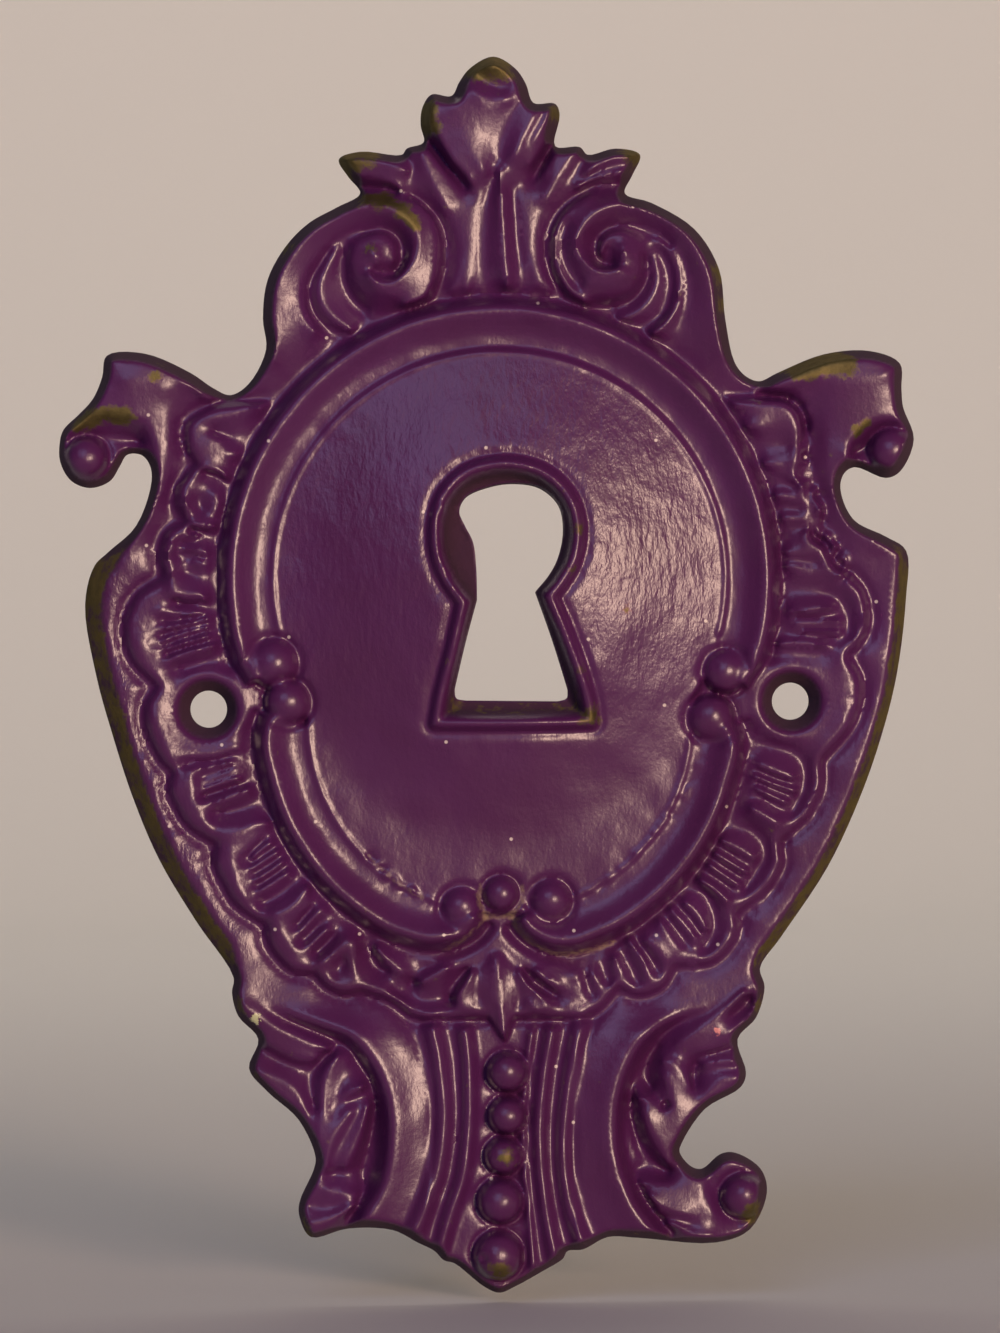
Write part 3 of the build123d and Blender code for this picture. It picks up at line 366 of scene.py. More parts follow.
# Carved lines of the crest, the ears and the foot's leaves: height at the start and the end, then points.
# The surface between them is stretched like a skin.
CREST_LINES = [
    # Left volute: ridge, its shoulder and outer groove.
    (3.1, 3.5, [(-14.7, 22.2), (-14.6, 24.3), (-14.6, 25.6), (-14.3, 27.0), (-13.7, 28.3),
                (-12.9, 29.5), (-11.6, 30.8), (-10.1, 31.7), (-8.6, 32.1)]),
    (3.5, 3.9, [(-8.6, 32.1), (-7.5, 32.1), (-6.5, 31.6), (-5.7, 30.9), (-5.3, 29.9), (-5.5, 28.85),
                (-6.1, 27.8), (-7.0, 27.1), (-7.75, 27.1), (-8.4, 27.7)]),
    (3.0, 3.5, [(-5.9, 32.5), (-5.0, 32.0), (-4.3, 31.1), (-3.95, 30.0), (-3.95, 28.7), (-4.3, 27.2),
                (-4.95, 26.1), (-6.2, 25.7)]),
    (2.0, 1.8, [(-5.8, 32.95), (-4.74, 32.2), (-3.9, 31.2), (-3.5, 29.9), (-3.5, 28.6), (-3.8, 27.2),
                (-4.45, 26.0), (-5.5, 25.3), (-7.2, 25.1)]),
    # Left volute: inner groove, edge of the crescent, its floor, its lit slope, and the coil.
    (2.1, 2.2, [(-6.8, 30.4), (-7.6, 30.65), (-8.6, 30.45), (-9.7, 30.2), (-10.7, 29.7)]),
    (2.6, 2.9, [(-10.8, 30.0), (-11.75, 28.9), (-12.4, 27.9), (-12.7, 26.9), (-12.65, 25.8),
                (-12.3, 24.7), (-11.8, 23.9)]),
    (2.0, 1.6, [(-10.9, 29.4), (-11.5, 28.5), (-12.05, 27.6), (-12.3, 26.8), (-12.2, 25.8),
                (-11.8, 24.95), (-11.0, 24.2), (-10.0, 23.8)]),
    (2.5, 2.6, [(-10.4, 29.5), (-11.3, 28.0), (-11.65, 26.9), (-11.5, 25.9), (-10.75, 24.95),
                (-9.5, 24.15)]),
    (2.0, 1.4, [(-9.9, 29.7), (-10.15, 28.6), (-10.0, 27.1), (-9.45, 26.05), (-8.6, 25.3)]),
    (3.1, 2.9, [(-9.2, 29.6), (-9.45, 28.6), (-9.2, 27.4), (-8.6, 26.5), (-7.6, 25.9)]),
    (3.1, 3.2, [(-9.2, 29.6), (-8.6, 30.05), (-7.75, 30.25), (-7.0, 29.8), (-6.75, 29.05),
                (-6.85, 28.4)]),
    (2.1, 2.0, [(-6.8, 30.4), (-6.4, 29.9), (-6.25, 29.1), (-6.4, 28.3), (-6.9, 27.75)]),
    (2.4, 2.8, [(-6.9, 27.75), (-7.5, 27.75), (-8.1, 27.9)]),
    (3.7, 3.8, [(-8.2, 29.2), (-7.85, 28.55)]),
    (3.6, 3.5, [(-8.1, 26.9), (-6.9, 26.4), (-5.7, 26.9)]),
    # Right volute.
    (3.1, 3.5, [(14.7, 22.7), (14.15, 24.3), (13.9, 25.9), (13.4, 27.5), (12.7, 29.0), (12.1, 30.1),
                (11.2, 31.0), (10.1, 31.75), (8.9, 32.1)]),
    (3.5, 3.9, [(8.9, 32.1), (7.8, 32.2), (6.8, 32.0), (5.9, 31.4), (5.2, 30.55), (4.85, 29.8),
                (5.0, 29.05), (5.5, 28.4), (6.1, 28.0), (6.9, 27.9), (7.8, 28.0)]),
    (3.0, 3.2, [(5.9, 32.75), (4.9, 32.2), (4.05, 31.3), (3.6, 30.2), (3.55, 28.9), (3.95, 27.6),
                (4.6, 26.6), (5.5, 25.9)]),
    (2.0, 1.8, [(5.9, 33.15), (4.7, 32.6), (3.65, 31.5), (3.1, 30.2), (3.05, 28.85), (3.4, 27.5),
                (4.15, 26.3), (5.2, 25.4), (6.6, 24.9)]),
    (2.7, 2.7, [(4.3, 31.0), (4.0, 29.9), (4.1, 28.8), (4.5, 27.8), (5.2, 27.0)]),
    (2.2, 2.2, [(6.3, 30.1), (6.9, 30.65), (7.8, 30.85), (8.9, 30.75), (10.0, 30.35), (11.0, 29.6)]),
    (2.7, 2.9, [(10.1, 30.05), (11.0, 29.2), (11.45, 28.2), (11.55, 27.0), (11.3, 25.6), (10.6, 24.5),
                (9.8, 23.8)]),
    (2.5, 2.3, [(11.6, 29.1), (12.0, 27.9), (12.05, 26.6), (11.8, 25.2), (11.1, 23.9)]),
    (2.0, 1.6, [(10.3, 29.2), (10.85, 28.1), (11.0, 26.9), (10.7, 25.6), (10.0, 24.8), (8.8, 24.3),
                (7.6, 24.4)]),
    (2.4, 2.5, [(9.8, 28.8), (10.1, 27.5), (9.6, 26.0), (8.4, 25.0), (7.4, 24.9)]),
    (1.8, 1.4, [(9.5, 28.9), (9.6, 27.8), (9.2, 26.8), (8.4, 26.0), (6.9, 25.6), (5.6, 25.6)]),
    (3.1, 2.9, [(8.7, 29.8), (9.0, 28.8), (8.9, 27.7), (8.3, 26.8), (7.2, 26.3), (5.9, 26.3)]),
    (3.2, 3.1, [(6.5, 29.1), (6.8, 29.9), (7.5, 30.35), (8.2, 30.3), (8.7, 29.8)]),
    (2.0, 2.0, [(6.3, 30.1), (6.15, 29.4), (6.2, 28.9), (6.6, 28.45), (7.3, 28.35)]),
    (2.7, 2.6, [(5.8, 30.3), (5.75, 29.6), (5.9, 29.0)]),
    (2.5, 2.4, [(6.9, 29.3), (7.1, 28.85)]),
    (3.7, 3.7, [(7.9, 29.4), (8.1, 28.7)]),
    (3.6, 3.5, [(8.2, 27.6), (6.9, 27.0), (5.5, 27.2)]),
    # Left side leaf, the gap under it, and the lobe beside it.
    (2.7, 3.1, [(-10.2, 35.2), (-8.6, 35.2), (-7.1, 34.9), (-5.9, 34.3)]),
    (2.3, 2.8, [(-10.0, 34.7), (-9.2, 34.1), (-8.1, 33.95), (-7.2, 33.65), (-6.3, 33.2)]),
    (0.7, 1.5, [(-9.2, 33.5), (-8.4, 33.35), (-7.4, 33.4), (-6.6, 33.1)]),
    (2.3, 2.4, [(-6.1, 35.4), (-5.6, 34.7), (-5.9, 33.8)]),
    (2.9, 2.9, [(-5.1, 35.9), (-4.7, 34.6), (-4.1, 33.2), (-3.4, 31.8)]),
    (2.6, 2.6, [(-2.9, 31.2), (-2.6, 29.6), (-2.6, 28.0), (-3.0, 26.6)]),
    # Right side leaf and the lobe beside it.
    (2.7, 3.1, [(9.0, 35.4), (7.7, 35.3), (6.4, 34.8), (5.6, 34.2)]),
    (2.4, 2.5, [(8.8, 34.9), (7.5, 34.7), (6.2, 34.3), (5.2, 33.7)]),
    (2.8, 2.9, [(8.5, 34.3), (7.4, 34.2), (6.2, 33.9), (5.0, 33.3)]),
    (1.7, 2.0, [(8.1, 33.5), (7.0, 33.6), (5.9, 33.5), (5.0, 33.0)]),
    (2.3, 2.5, [(5.7, 35.6), (5.1, 34.6), (4.4, 33.7)]),
    (2.9, 2.9, [(4.9, 35.9), (4.3, 34.8), (3.5, 33.7), (2.9, 32.4)]),
    (2.6, 2.6, [(2.5, 31.6), (2.4, 29.8), (2.6, 28.2), (3.2, 26.7)]),
    # Cuts between the middle leaf and the side lobes, with their lips.
    (0.6, 1.5, [(-4.5, 36.4), (-3.9, 35.6), (-3.2, 34.65), (-2.6, 33.95), (-2.15, 33.4)]),
    (2.7, 2.6, [(-4.85, 35.9), (-4.3, 35.3), (-3.65, 34.4), (-3.1, 33.7), (-2.7, 33.1)]),
    (3.0, 3.2, [(-4.0, 37.7), (-4.05, 36.9), (-3.75, 36.2), (-3.0, 34.95), (-2.4, 34.35),
                (-1.8, 33.6)]),
    (0.6, 1.5, [(3.35, 36.2), (2.95, 35.4), (2.5, 34.6), (2.15, 33.9)]),
    (2.7, 2.6, [(3.9, 35.9), (3.35, 35.0), (2.85, 34.1)]),
    (2.9, 2.9, [(3.6, 37.6), (3.1, 36.5), (2.5, 35.6), (1.9, 34.7)]),
    # Middle leaf: swollen left half, crease, ridged right half, knob, and the pit at the left.
    (3.2, 3.35, [(-2.6, 38.3), (-2.2, 37.0), (-1.5, 35.5), (-1.0, 34.2)]),
    (3.0, 2.7, [(1.25, 38.9), (0.65, 37.9), (0.25, 36.8), (0.1, 35.7), (0.0, 34.9)]),
    (3.3, 3.5, [(2.6, 38.5), (2.05, 37.5), (1.5, 36.5), (0.9, 35.2)]),
    (3.0, 3.1, [(2.95, 38.1), (2.35, 37.1), (1.75, 36.1)]),
    (3.3, 3.3, [(3.3, 38.2), (2.75, 37.3), (2.1, 36.2)]),
    (3.5, 3.6, [(-0.9, 41.1), (-0.2, 41.2), (0.4, 41.0)]),
    (2.6, 2.8, [(-1.4, 40.6), (-0.8, 40.1), (0.0, 39.75), (0.5, 39.9)]),
    (3.4, 3.4, [(-1.7, 39.6), (-0.9, 38.9), (-0.1, 38.9), (0.6, 39.0)]),
    (3.1, 3.2, [(0.9, 40.5), (1.2, 39.6), (1.5, 39.0)]),
    (1.0, 1.2, [(-3.0, 39.35), (-2.85, 39.15)]),
    (3.2, 3.3, [(-3.4, 38.85), (-2.8, 38.65), (-2.4, 38.95), (-2.35, 39.6)]),
    (2.9, 3.1, [(-4.4, 39.0), (-4.4, 38.3), (-4.2, 37.8)]),
    # Stem: flutes that part downward.
    (3.3, 3.3, [(0.0, 34.5), (0.1, 32.8), (0.2, 31.0), (0.35, 28.8), (0.5, 26.9)]),
    (2.5, 2.3, [(-0.3, 34.4), (-0.5, 33.4), (-0.8, 32.2), (-1.0, 30.3), (-1.1, 28.6), (-1.1, 27.2),
                (-1.4, 26.2)]),
    (2.7, 2.75, [(-1.2, 33.2), (-1.6, 31.6), (-1.8, 29.8), (-1.95, 28.0), (-2.1, 26.6)]),
    (2.4, 2.3, [(0.85, 33.4), (1.0, 31.4), (1.15, 29.4), (1.45, 27.7), (2.2, 26.2)]),
    (2.65, 2.7, [(1.4, 32.8), (1.6, 30.8), (1.9, 28.9), (2.5, 27.0)]),
]
EAR_LINES = [
    # Left ear: lip of the roll, the gap under it, edge of the neck, fold of the top.
    (2.6, 3.0, [(-27.9, 17.7), (-27.1, 18.3), (-26.3, 18.75), (-25.4, 18.85), (-24.3, 18.7),
                (-23.2, 18.4)]),
    (2.0, 0.9, [(-27.7, 17.25), (-26.6, 17.45), (-25.4, 17.4), (-24.6, 17.2), (-23.8, 17.2),
                (-23.2, 17.0)]),
    (2.9, 2.9, [(-26.2, 20.0), (-25.4, 21.2), (-25.2, 22.2)]),
    (3.2, 3.1, [(-24.2, 20.9), (-22.6, 20.8), (-21.4, 20.3)]),
    (2.9, 2.6, [(-22.7, 18.3), (-22.3, 17.3), (-22.0, 16.4), (-21.9, 15.2), (-22.0, 14.0),
                (-22.3, 12.8), (-22.9, 11.6), (-24.2, 10.4)]),
    (2.7, 2.5, [(-21.2, 18.9), (-21.2, 17.4), (-21.35, 15.6), (-21.6, 13.6)]),
    (3.0, 2.8, [(-20.6, 20.9), (-19.9, 20.6), (-19.0, 20.0)]),
    (2.4, 2.4, [(-19.9, 20.1), (-19.0, 19.7), (-17.6, 19.6)]),
    (2.7, 2.7, [(-18.4, 20.2), (-17.4, 19.9), (-16.4, 20.4)]),
    # Right ear.
    (2.8, 3.0, [(22.6, 17.0), (23.2, 17.9), (24.1, 18.4), (25.2, 18.5), (26.0, 18.2)]),
    (0.9, 2.0, [(22.9, 16.2), (23.8, 16.95), (24.6, 17.5), (25.3, 17.75)]),
    (3.2, 3.1, [(24.9, 21.2), (23.2, 21.0), (21.6, 20.8)]),
    (2.9, 2.9, [(25.6, 19.4), (25.5, 20.6), (25.4, 21.7)]),
    (2.9, 2.6, [(22.5, 16.6), (22.1, 15.2), (21.8, 14.0), (22.2, 12.7), (23.0, 11.7), (23.8, 10.8),
                (25.0, 10.2)]),
    (2.6, 2.5, [(21.3, 18.9), (21.1, 17.4), (21.0, 15.6), (21.4, 13.6)]),
    (3.0, 2.8, [(20.8, 21.4), (19.6, 21.0), (18.4, 20.6), (17.2, 20.5)]),
    (2.4, 2.4, [(20.2, 20.3), (19.0, 20.2), (17.4, 20.3)]),
]
FOOT_LINES = [
    # Left: two outer lobes, the groove behind the inner lobes, the folded leaf and
    # the pocket at the band.
    (2.8, 2.5, [(-16.6, -19.2), (-15.2, -20.2), (-13.6, -21.0), (-12.0, -21.7), (-10.9, -22.2)]),
    (2.5, 2.4, [(-16.3, -20.3), (-15.3, -21.4), (-13.9, -22.35), (-12.5, -22.8), (-11.7, -22.7)]),
    (1.5, 1.6, [(-15.6, -22.0), (-14.3, -22.85), (-12.9, -23.35), (-12.2, -23.4)]),
    (2.4, 2.4, [(-15.9, -23.6), (-14.7, -23.8), (-13.6, -24.3), (-12.8, -25.1), (-12.3, -26.2)]),
    (1.2, 1.6, [(-10.4, -21.9), (-11.5, -22.9), (-12.15, -23.8), (-12.2, -24.7), (-11.95, -26.0)]),
    (2.5, 2.6, [(-10.4, -22.5), (-11.2, -23.7), (-11.5, -25.2), (-11.5, -26.8), (-11.8, -28.2)]),
    (2.0, 2.2, [(-9.8, -22.5), (-10.0, -23.8), (-10.3, -25.0), (-10.7, -26.4)]),
    (2.5, 2.8, [(-10.0, -25.2), (-9.3, -24.75), (-8.75, -24.5)]),
    (2.0, 1.9, [(-9.8, -25.6), (-9.1, -25.25), (-8.6, -25.0)]),
    (2.7, 2.6, [(-9.5, -26.0), (-10.3, -27.2), (-10.9, -28.6), (-11.2, -29.8)]),
    (2.2, 2.2, [(-8.9, -26.0), (-9.8, -27.4), (-10.6, -28.8), (-10.9, -29.6)]),
    (2.6, 2.3, [(-8.45, -25.7), (-8.85, -27.3), (-9.4, -28.7), (-10.0, -29.7)]),
    (0.8, 0.7, [(-8.15, -24.6), (-8.0, -25.8), (-8.25, -27.4), (-8.6, -29.0), (-8.85, -30.3),
                (-8.75, -31.1)]),
    (2.2, 2.3, [(-12.6, -27.2), (-12.2, -28.6), (-11.8, -29.8), (-11.7, -31.0)]),
    (1.4, 1.6, [(-10.9, -30.3), (-10.0, -30.1), (-9.3, -30.6)]),
    (2.4, 2.3, [(-11.2, -31.2), (-10.2, -31.3), (-9.2, -31.6)]),
    (1.9, 2.0, [(-12.3, -32.2), (-11.2, -32.4), (-10.2, -32.1)]),
    (2.6, 2.5, [(-12.5, -33.4), (-10.9, -33.1), (-9.7, -32.5), (-8.9, -31.9)]),
    # Right: curled outer lobe with its pit, the ribbed lobe, pockets, two inner leaves and the scroll.
    (2.6, 2.6, [(16.8, -18.2), (16.85, -19.2), (16.4, -20.1), (15.4, -20.8), (13.8, -21.3)]),
    (1.0, 1.8, [(16.2, -18.9), (15.7, -19.5), (14.9, -20.1)]),
    (2.8, 2.6, [(15.8, -18.4), (14.6, -19.5), (13.0, -20.7), (11.5, -21.8)]),
    (2.4, 2.4, [(15.2, -21.5), (14.4, -21.85), (13.2, -22.2), (12.0, -22.3)]),
    (1.6, 1.7, [(15.1, -22.05), (14.0, -22.4), (12.6, -22.85)]),
    (2.4, 2.3, [(15.2, -22.9), (14.2, -22.85), (13.2, -23.1)]),
    (2.0, 2.0, [(15.3, -23.4), (14.3, -23.3), (13.3, -23.7)]),
    (2.5, 2.4, [(15.5, -24.0), (14.5, -23.9), (13.6, -24.6), (12.9, -25.4)]),
    (1.1, 1.3, [(12.7, -23.1), (12.5, -24.0), (12.6, -24.6)]),
    (0.9, 0.7, [(10.2, -21.9), (9.6, -22.9), (9.45, -24.0), (9.8, -24.8)]),
    (2.6, 2.5, [(10.5, -22.9), (11.4, -23.2), (12.0, -23.8), (12.3, -24.6)]),
    (2.6, 2.5, [(10.6, -23.8), (11.2, -25.2), (11.5, -26.6), (11.6, -28.0)]),
    (1.7, 1.9, [(9.0, -24.7), (9.8, -25.1), (10.3, -25.3)]),
    (2.6, 2.5, [(8.9, -25.3), (9.5, -25.3), (10.1, -25.8), (10.6, -26.2)]),
    (2.8, 2.4, [(9.3, -26.0), (9.6, -27.2), (10.2, -28.4), (10.9, -29.5)]),
    (0.9, 0.8, [(8.6, -25.2), (8.5, -26.4), (8.9, -28.0), (9.6, -29.2), (10.9, -30.1)]),
    (1.8, 1.4, [(8.15, -26.4), (8.35, -28.0), (8.8, -29.4)]),
    (0.8, 1.0, [(8.7, -30.0), (9.6, -29.85), (10.8, -30.35)]),
    (2.1, 2.3, [(8.9, -30.8), (10.0, -30.75), (11.4, -30.9)]),
    (2.6, 2.6, [(9.6, -31.5), (10.4, -32.3), (12.2, -32.8)]),
    (2.2, 2.2, [(10.0, -32.6), (11.4, -33.1), (12.6, -33.5)]),
    (2.6, 2.7, [(10.3, -33.3), (11.6, -33.6), (12.5, -34.1), (13.6, -34.2)]),
    (1.8, 1.7, [(13.7, -30.6), (14.1, -31.9), (14.6, -33.0), (15.4, -33.6)]),
    (2.3, 2.4, [(11.9, -29.6), (12.8, -30.5), (13.2, -31.6), (13.8, -32.8)]),
]

# Wear: places rubbed through to the brass, as x, z, reach and strength.
RUBBED = [
    (-0.3, 41.3, 1.3, 0.9), (-1.7, 40.9, 0.7, 0.8), (-4.7, 38.2, 0.9, 0.9), (-4.6, 37.2, 0.7, 0.8),
    (3.75, 38.2, 0.7, 0.9), (-9.9, 35.0, 1.0, 0.9), (-8.4, 35.5, 0.9, 0.8), (8.7, 35.4, 0.9, 0.9),
    (-8.6, 32.6, 0.7, 0.8), (-7.2, 32.5, 0.7, 0.8), (-6.1, 31.8, 0.7, 0.8), (-5.5, 30.9, 0.5, 0.7),
    (-8.0, 29.3, 0.5, 0.6), (14.3, 28.0, 0.8, 0.8), (14.5, 26.0, 0.7, 0.7), (-13.7, 29.6, 0.7, 0.6),
    (-22.1, 21.1, 0.6, 0.9), (-26.3, 18.6, 0.7, 0.8), (-25.2, 18.7, 0.7, 0.9), (-24.1, 18.6, 0.7, 0.9),
    (-27.2, 18.0, 0.7, 0.6), (19.2, 21.6, 0.9, 0.9), (20.6, 22.1, 1.0, 1.0), (21.9, 22.1, 1.0, 0.9),
    (22.6, 21.5, 0.7, 0.7), (23.0, 17.6, 0.5, 0.9), (23.7, 18.2, 0.4, 0.8), (5.9, -0.7, 0.8, 0.7),
    (5.2, 11.2, 0.5, 0.5), (4.6, 8.8, 0.5, 0.45), (5.3, 2.4, 0.5, 0.5), (8.2, 6.3, 0.5, 0.75),
    (0.45, -28.9, 0.6, 0.9), (0.0, -36.3, 0.8, 0.8), (16.2, -32.7, 0.9, 0.9), (-17.0, -19.4, 0.9, 0.6),
    (16.9, -19.4, 0.7, 0.6), (-15.8, -23.9, 0.6, 0.5), (-26.9, 7.4, 0.8, 0.5), (-12.6, -34.0, 0.8, 0.6),
]
# Tan dust that stuck in the paint: points of lines, reach and strength.
DUSTY = [
    ([(-8.4, -9.7), (-6.6, -11.3), (-4.9, -12.4)], 0.35, 0.7),
    ([(9.7, -8.0), (7.8, -10.3), (5.6, -12.2)], 0.35, 0.4),
    ([(-1.25, -11.6), (-1.3, -12.7), (-0.6, -13.5), (0.5, -13.5), (1.4, -12.7), (1.5, -11.6)],
     0.27, 0.85),
    ([(-0.9, -13.7), (-2.3, -15.0), (-3.4, -15.6)], 0.28, 0.8),
    ([(0.8, -13.7), (1.8, -15.0), (3.9, -16.0), (5.5, -15.8), (7.4, -15.3)], 0.28, 0.9),
    ([(2.3, -20.6), (2.2, -22.6)], 0.3, 0.5),
    ([(20.2, 13.8), (20.7, 12.0), (20.9, 10.8)], 0.4, 0.4),
]
# Seams and cracks in the coat beside the right lobes: points, width and height.
SEAMS = [
    ([(19.5, 17.0), (19.7, 16.1), (19.6, 15.3), (19.5, 14.6), (20.1, 14.2), (20.5, 13.2), (20.7, 12.3),
      (20.6, 11.1), (21.4, 10.6), (21.8, 9.6), (22.4, 8.2)], 0.55, 0.3),
    ([(16.3, 19.9), (17.2, 19.9), (18.5, 19.8), (19.4, 19.1), (19.7, 18.4), (19.8, 17.7), (19.7, 17.2)],
      0.32, -0.7),
    ([(19.2, 14.9), (19.6, 14.2), (20.0, 13.2), (20.1, 12.2), (20.1, 11.1), (20.9, 10.4), (21.3, 9.4)],
      0.3, -0.35),
    ([(10.5, -25.6), (10.7, -25.75), (10.8, -25.9)], 0.4, -0.9),
    ([(1.0, -28.9), (1.1, -29.1), (1.05, -29.3)], 0.35, -0.4),
    ([(-0.9, -35.3), (-1.0, -35.5), (-0.95, -35.7)], 0.4, -0.5),
]
# Middle of the left flange, where the brush marks are strongest.
BRUSHED = [(-24.6, 8.0), (-25.2, 4.0), (-24.2, -0.5), (-22.6, -5.0), (-20.4, -9.5), (-17.6, -13.8)]
# Crusty places where paint and dust lumped together: points of lines, reach and depth.
CRUSTY = [
    ([(19.5, 17.0), (19.7, 16.1), (19.6, 15.3), (19.5, 14.6), (20.1, 14.2), (20.5, 13.2), (20.7, 12.3),
      (20.6, 11.1), (21.5, 10.5), (21.8, 9.6), (22.3, 8.2)], 0.5, 0.2),
    ([(16.3, 19.9), (18.5, 19.8), (19.4, 19.1), (19.8, 17.7)], 0.4, 0.1),
    ([(-25.6, 7.5), (-25.7, 4.5), (-25.2, 1.5), (-24.3, -1.5), (-23.2, -4.5), (-21.8, -7.5),
      (-19.6, -11.0)], 0.9, 0.05),
    ([(-8.4, -9.7), (-6.6, -11.3), (-4.9, -12.4)], 0.35, 0.07),
    ([(14.2, 5.0), (13.6, 1.8), (13.0, -3.0), (11.6, -6.0), (9.7, -8.6), (7.8, -10.5), (5.6, -12.2)],
      0.3, 0.035),
    ([(23.4, 7.1), (23.8, 5.6), (23.4, 4.2), (22.5, 3.3), (22.9, 1.6), (22.6, -0.6)], 0.4, 0.07),
    ([(20.4, -4.1), (20.6, -5.6), (19.4, -7.8), (18.2, -9.0), (18.2, -10.3), (17.2, -12.2),
      (15.0, -14.8)], 0.4, 0.07),
    ([(-20.3, 18.2), (-20.4, 17.0), (-19.8, 15.6), (-20.6, 14.0), (-20.6, 12.6)], 0.4, 0.07),
    ([(-22.2, 5.0), (-20.5, 4.6), (-18.8, 4.8)], 1.4, 0.05),
    ([(8.0, -16.0), (5.0, -17.8), (2.0, -19.2)], 1.3, 0.05),
    ([(-2.6, 8.4), (-2.4, 11.0), (-2.9, 12.6)], 0.9, 0.1),
]
# Two chips that show older coats: x, z, reach and colour.
CHIPS = [(-15.7, -20.1, 0.4, "#B9BE93"), (14.0, -20.9, 0.3, "#C7777B")]

# Stage, in metres: the floor's level, front end, place and radius of its turn, top, and half its width.
FLOOR_LEVEL = -0.0386
FLOOR_FRONT = -1.5
FLOOR_TURN = 0.6
TURN_RADIUS = 0.25
SWEEP_TOP = 2.0
FLOOR_HALF = 2.0
PAPER = "#E4E0DA"
# Light from all round: colour and strength.
SKY = ("#D8D8DC", 0.08)
# Lamps: name, place, aim, size, watts and colour.
LAMPS = [
    ("key", (0.325, -0.81, 0.055), (0, 0, 0), (0.14, 0.14), 6.2, "#FFD8BE"),
    ("fill", (-0.2, -0.75, 0.4), (0, 0, 0), (0.45, 0.45), 1.5, "#B8C8FF"),
    ("sweep", (0, 0.3, 0.7), (0, 0.9, 0.35), (1.2, 0.4), 3.4, "#FFF8F0"),
]
# Camera: distance, height of the view at the plate's back, its middle, and the sensor's height in mm.
CAMERA_REACH = 0.42
VIEW_HEIGHT = 86.28 * MM
VIEW_MIDDLE = (0.07 * MM, 2.5 * MM)
SENSOR = 36


def to_linear(code):
    """Linear colour of an sRGB hex code."""
    v = np.array([int(code[i:i + 2], 16) for i in (1, 3, 5)]) / 255
    return tuple(np.where(v <= 0.04045, v / 12.92, ((v + 0.055) / 1.055) ** 2.4)) + (1.0,)


class ReliefSettings(bpy.types.PropertyGroup):
    """Sizes of the relief's mesh."""

    pitch: bpy.props.FloatProperty(
        name="Relief pitch", description="Distance between points of the carved relief",
        default=0.09 * MM, unit="LENGTH", subtype="DISTANCE")
    cell: bpy.props.FloatProperty(
        name="Cell size", description="Side of the small cells of the front", default=0.11 * MM,
        unit="LENGTH", subtype="DISTANCE")
    share: bpy.props.FloatProperty(
        name="Small cells", description="Share of the front that small cells cover", default=15.0,
        subtype="PERCENTAGE")
    soft: bpy.props.FloatProperty(
        name="Paint rounding", description="How far the thick paint rounds edges", default=0.11 * MM,
        unit="LENGTH", subtype="DISTANCE")
    lean: bpy.props.FloatProperty(
        name="Lean", description="Turn of the plate in the picture", default=math.radians(0.8),
        subtype="ANGLE")
    dish: bpy.props.FloatProperty(
        name="Back dish", description="Depth of the hollow behind the boss", default=2.4 * MM,
        unit="LENGTH", subtype="DISTANCE")


class PaintSettings(bpy.types.PropertyGroup):
    """Colours of the paint, the dirt, the bare metal, and the dark ground that also paints shade on the
    walls.
    """

    thin: bpy.props.FloatVectorProperty(
        name="Thin coat", description="Paint where the coat lies thin", size=4,
        default=to_linear("#471841"), subtype="COLOR")
    thick: bpy.props.FloatVectorProperty(
        name="Thick coat", description="Paint where the coat lies thick", size=4,
        default=to_linear("#53225A"), subtype="COLOR")
    # Partly the brown ground under the thin coat on walls, partly painted shade that darkens them.
    ground: bpy.props.FloatVectorProperty(
        name="Brown ground", description="Dull ground on walls and the back", size=4,
        default=to_linear("#301C24"), subtype="COLOR")
    dust: bpy.props.FloatVectorProperty(
        name="Dust", description="Tan dust in the hollows", size=4,
        default=to_linear("#86705F"), subtype="COLOR")
    speck: bpy.props.FloatVectorProperty(
        name="Specks", description="White specks of dust", size=4,
        default=to_linear("#C9BDB8"), subtype="COLOR")
    brass_dark: bpy.props.FloatVectorProperty(
        name="Dark brass", description="Bare brass in its darkest places", size=4,
        default=to_linear("#3C3520"), subtype="COLOR")
    brass_light: bpy.props.FloatVectorProperty(
        name="Light brass", description="Bare brass in its lightest places", size=4,
        default=to_linear("#8F8356"), subtype="COLOR")


def smooth_line(points, samples=6):
    """Line through points: cubic spans whose slopes follow the neighbours.

    Spans are spaced by the square root of their chords. Two points give a straight line.
    """
    p = np.array(points, float)
    if len(p) == 2:
        return p[0] + np.linspace(0, 1, samples + 1)[:, None] * (p[1] - p[0])
    p = np.vstack([2 * p[0] - p[1], p, 2 * p[-1] - p[-2]])
    d = np.diff(p, axis=0)
    k = np.sqrt(np.hypot(d[:, 0], d[:, 1]))[:, None]
    slope = d[:-1] / k[:-1] - (d[:-1] + d[1:]) / (k[:-1] + k[1:]) + d[1:] / k[1:]
    span = k[1:-1, None]
    t = np.linspace(0, 1, samples, endpoint=False)[None, :, None]
    a, b = p[1:-2, None], p[2:-1, None]
    m, n = slope[:-1, None] * span, slope[1:, None] * span
    places = a * (1 - t) ** 2 * (1 + 2 * t) + b * t * t * (3 - 2 * t)
    line = places + m * t * (1 - t) ** 2 - n * t * t * (1 - t)
    return np.vstack([line.reshape(-1, 2), p[-2]])


def chain(parts, samples=6):
    """Closed line of smooth parts with corners between them."""
    return np.vstack([smooth_line(part, samples)[:-1] for part in parts])


def loop(points, samples=5):
    """Closed smooth line through points."""
    p = np.array(points, float)
    line = smooth_line(np.vstack([p[-3:], p, p[:3]]), samples)
    return line[3 * samples:(3 + len(p)) * samples]


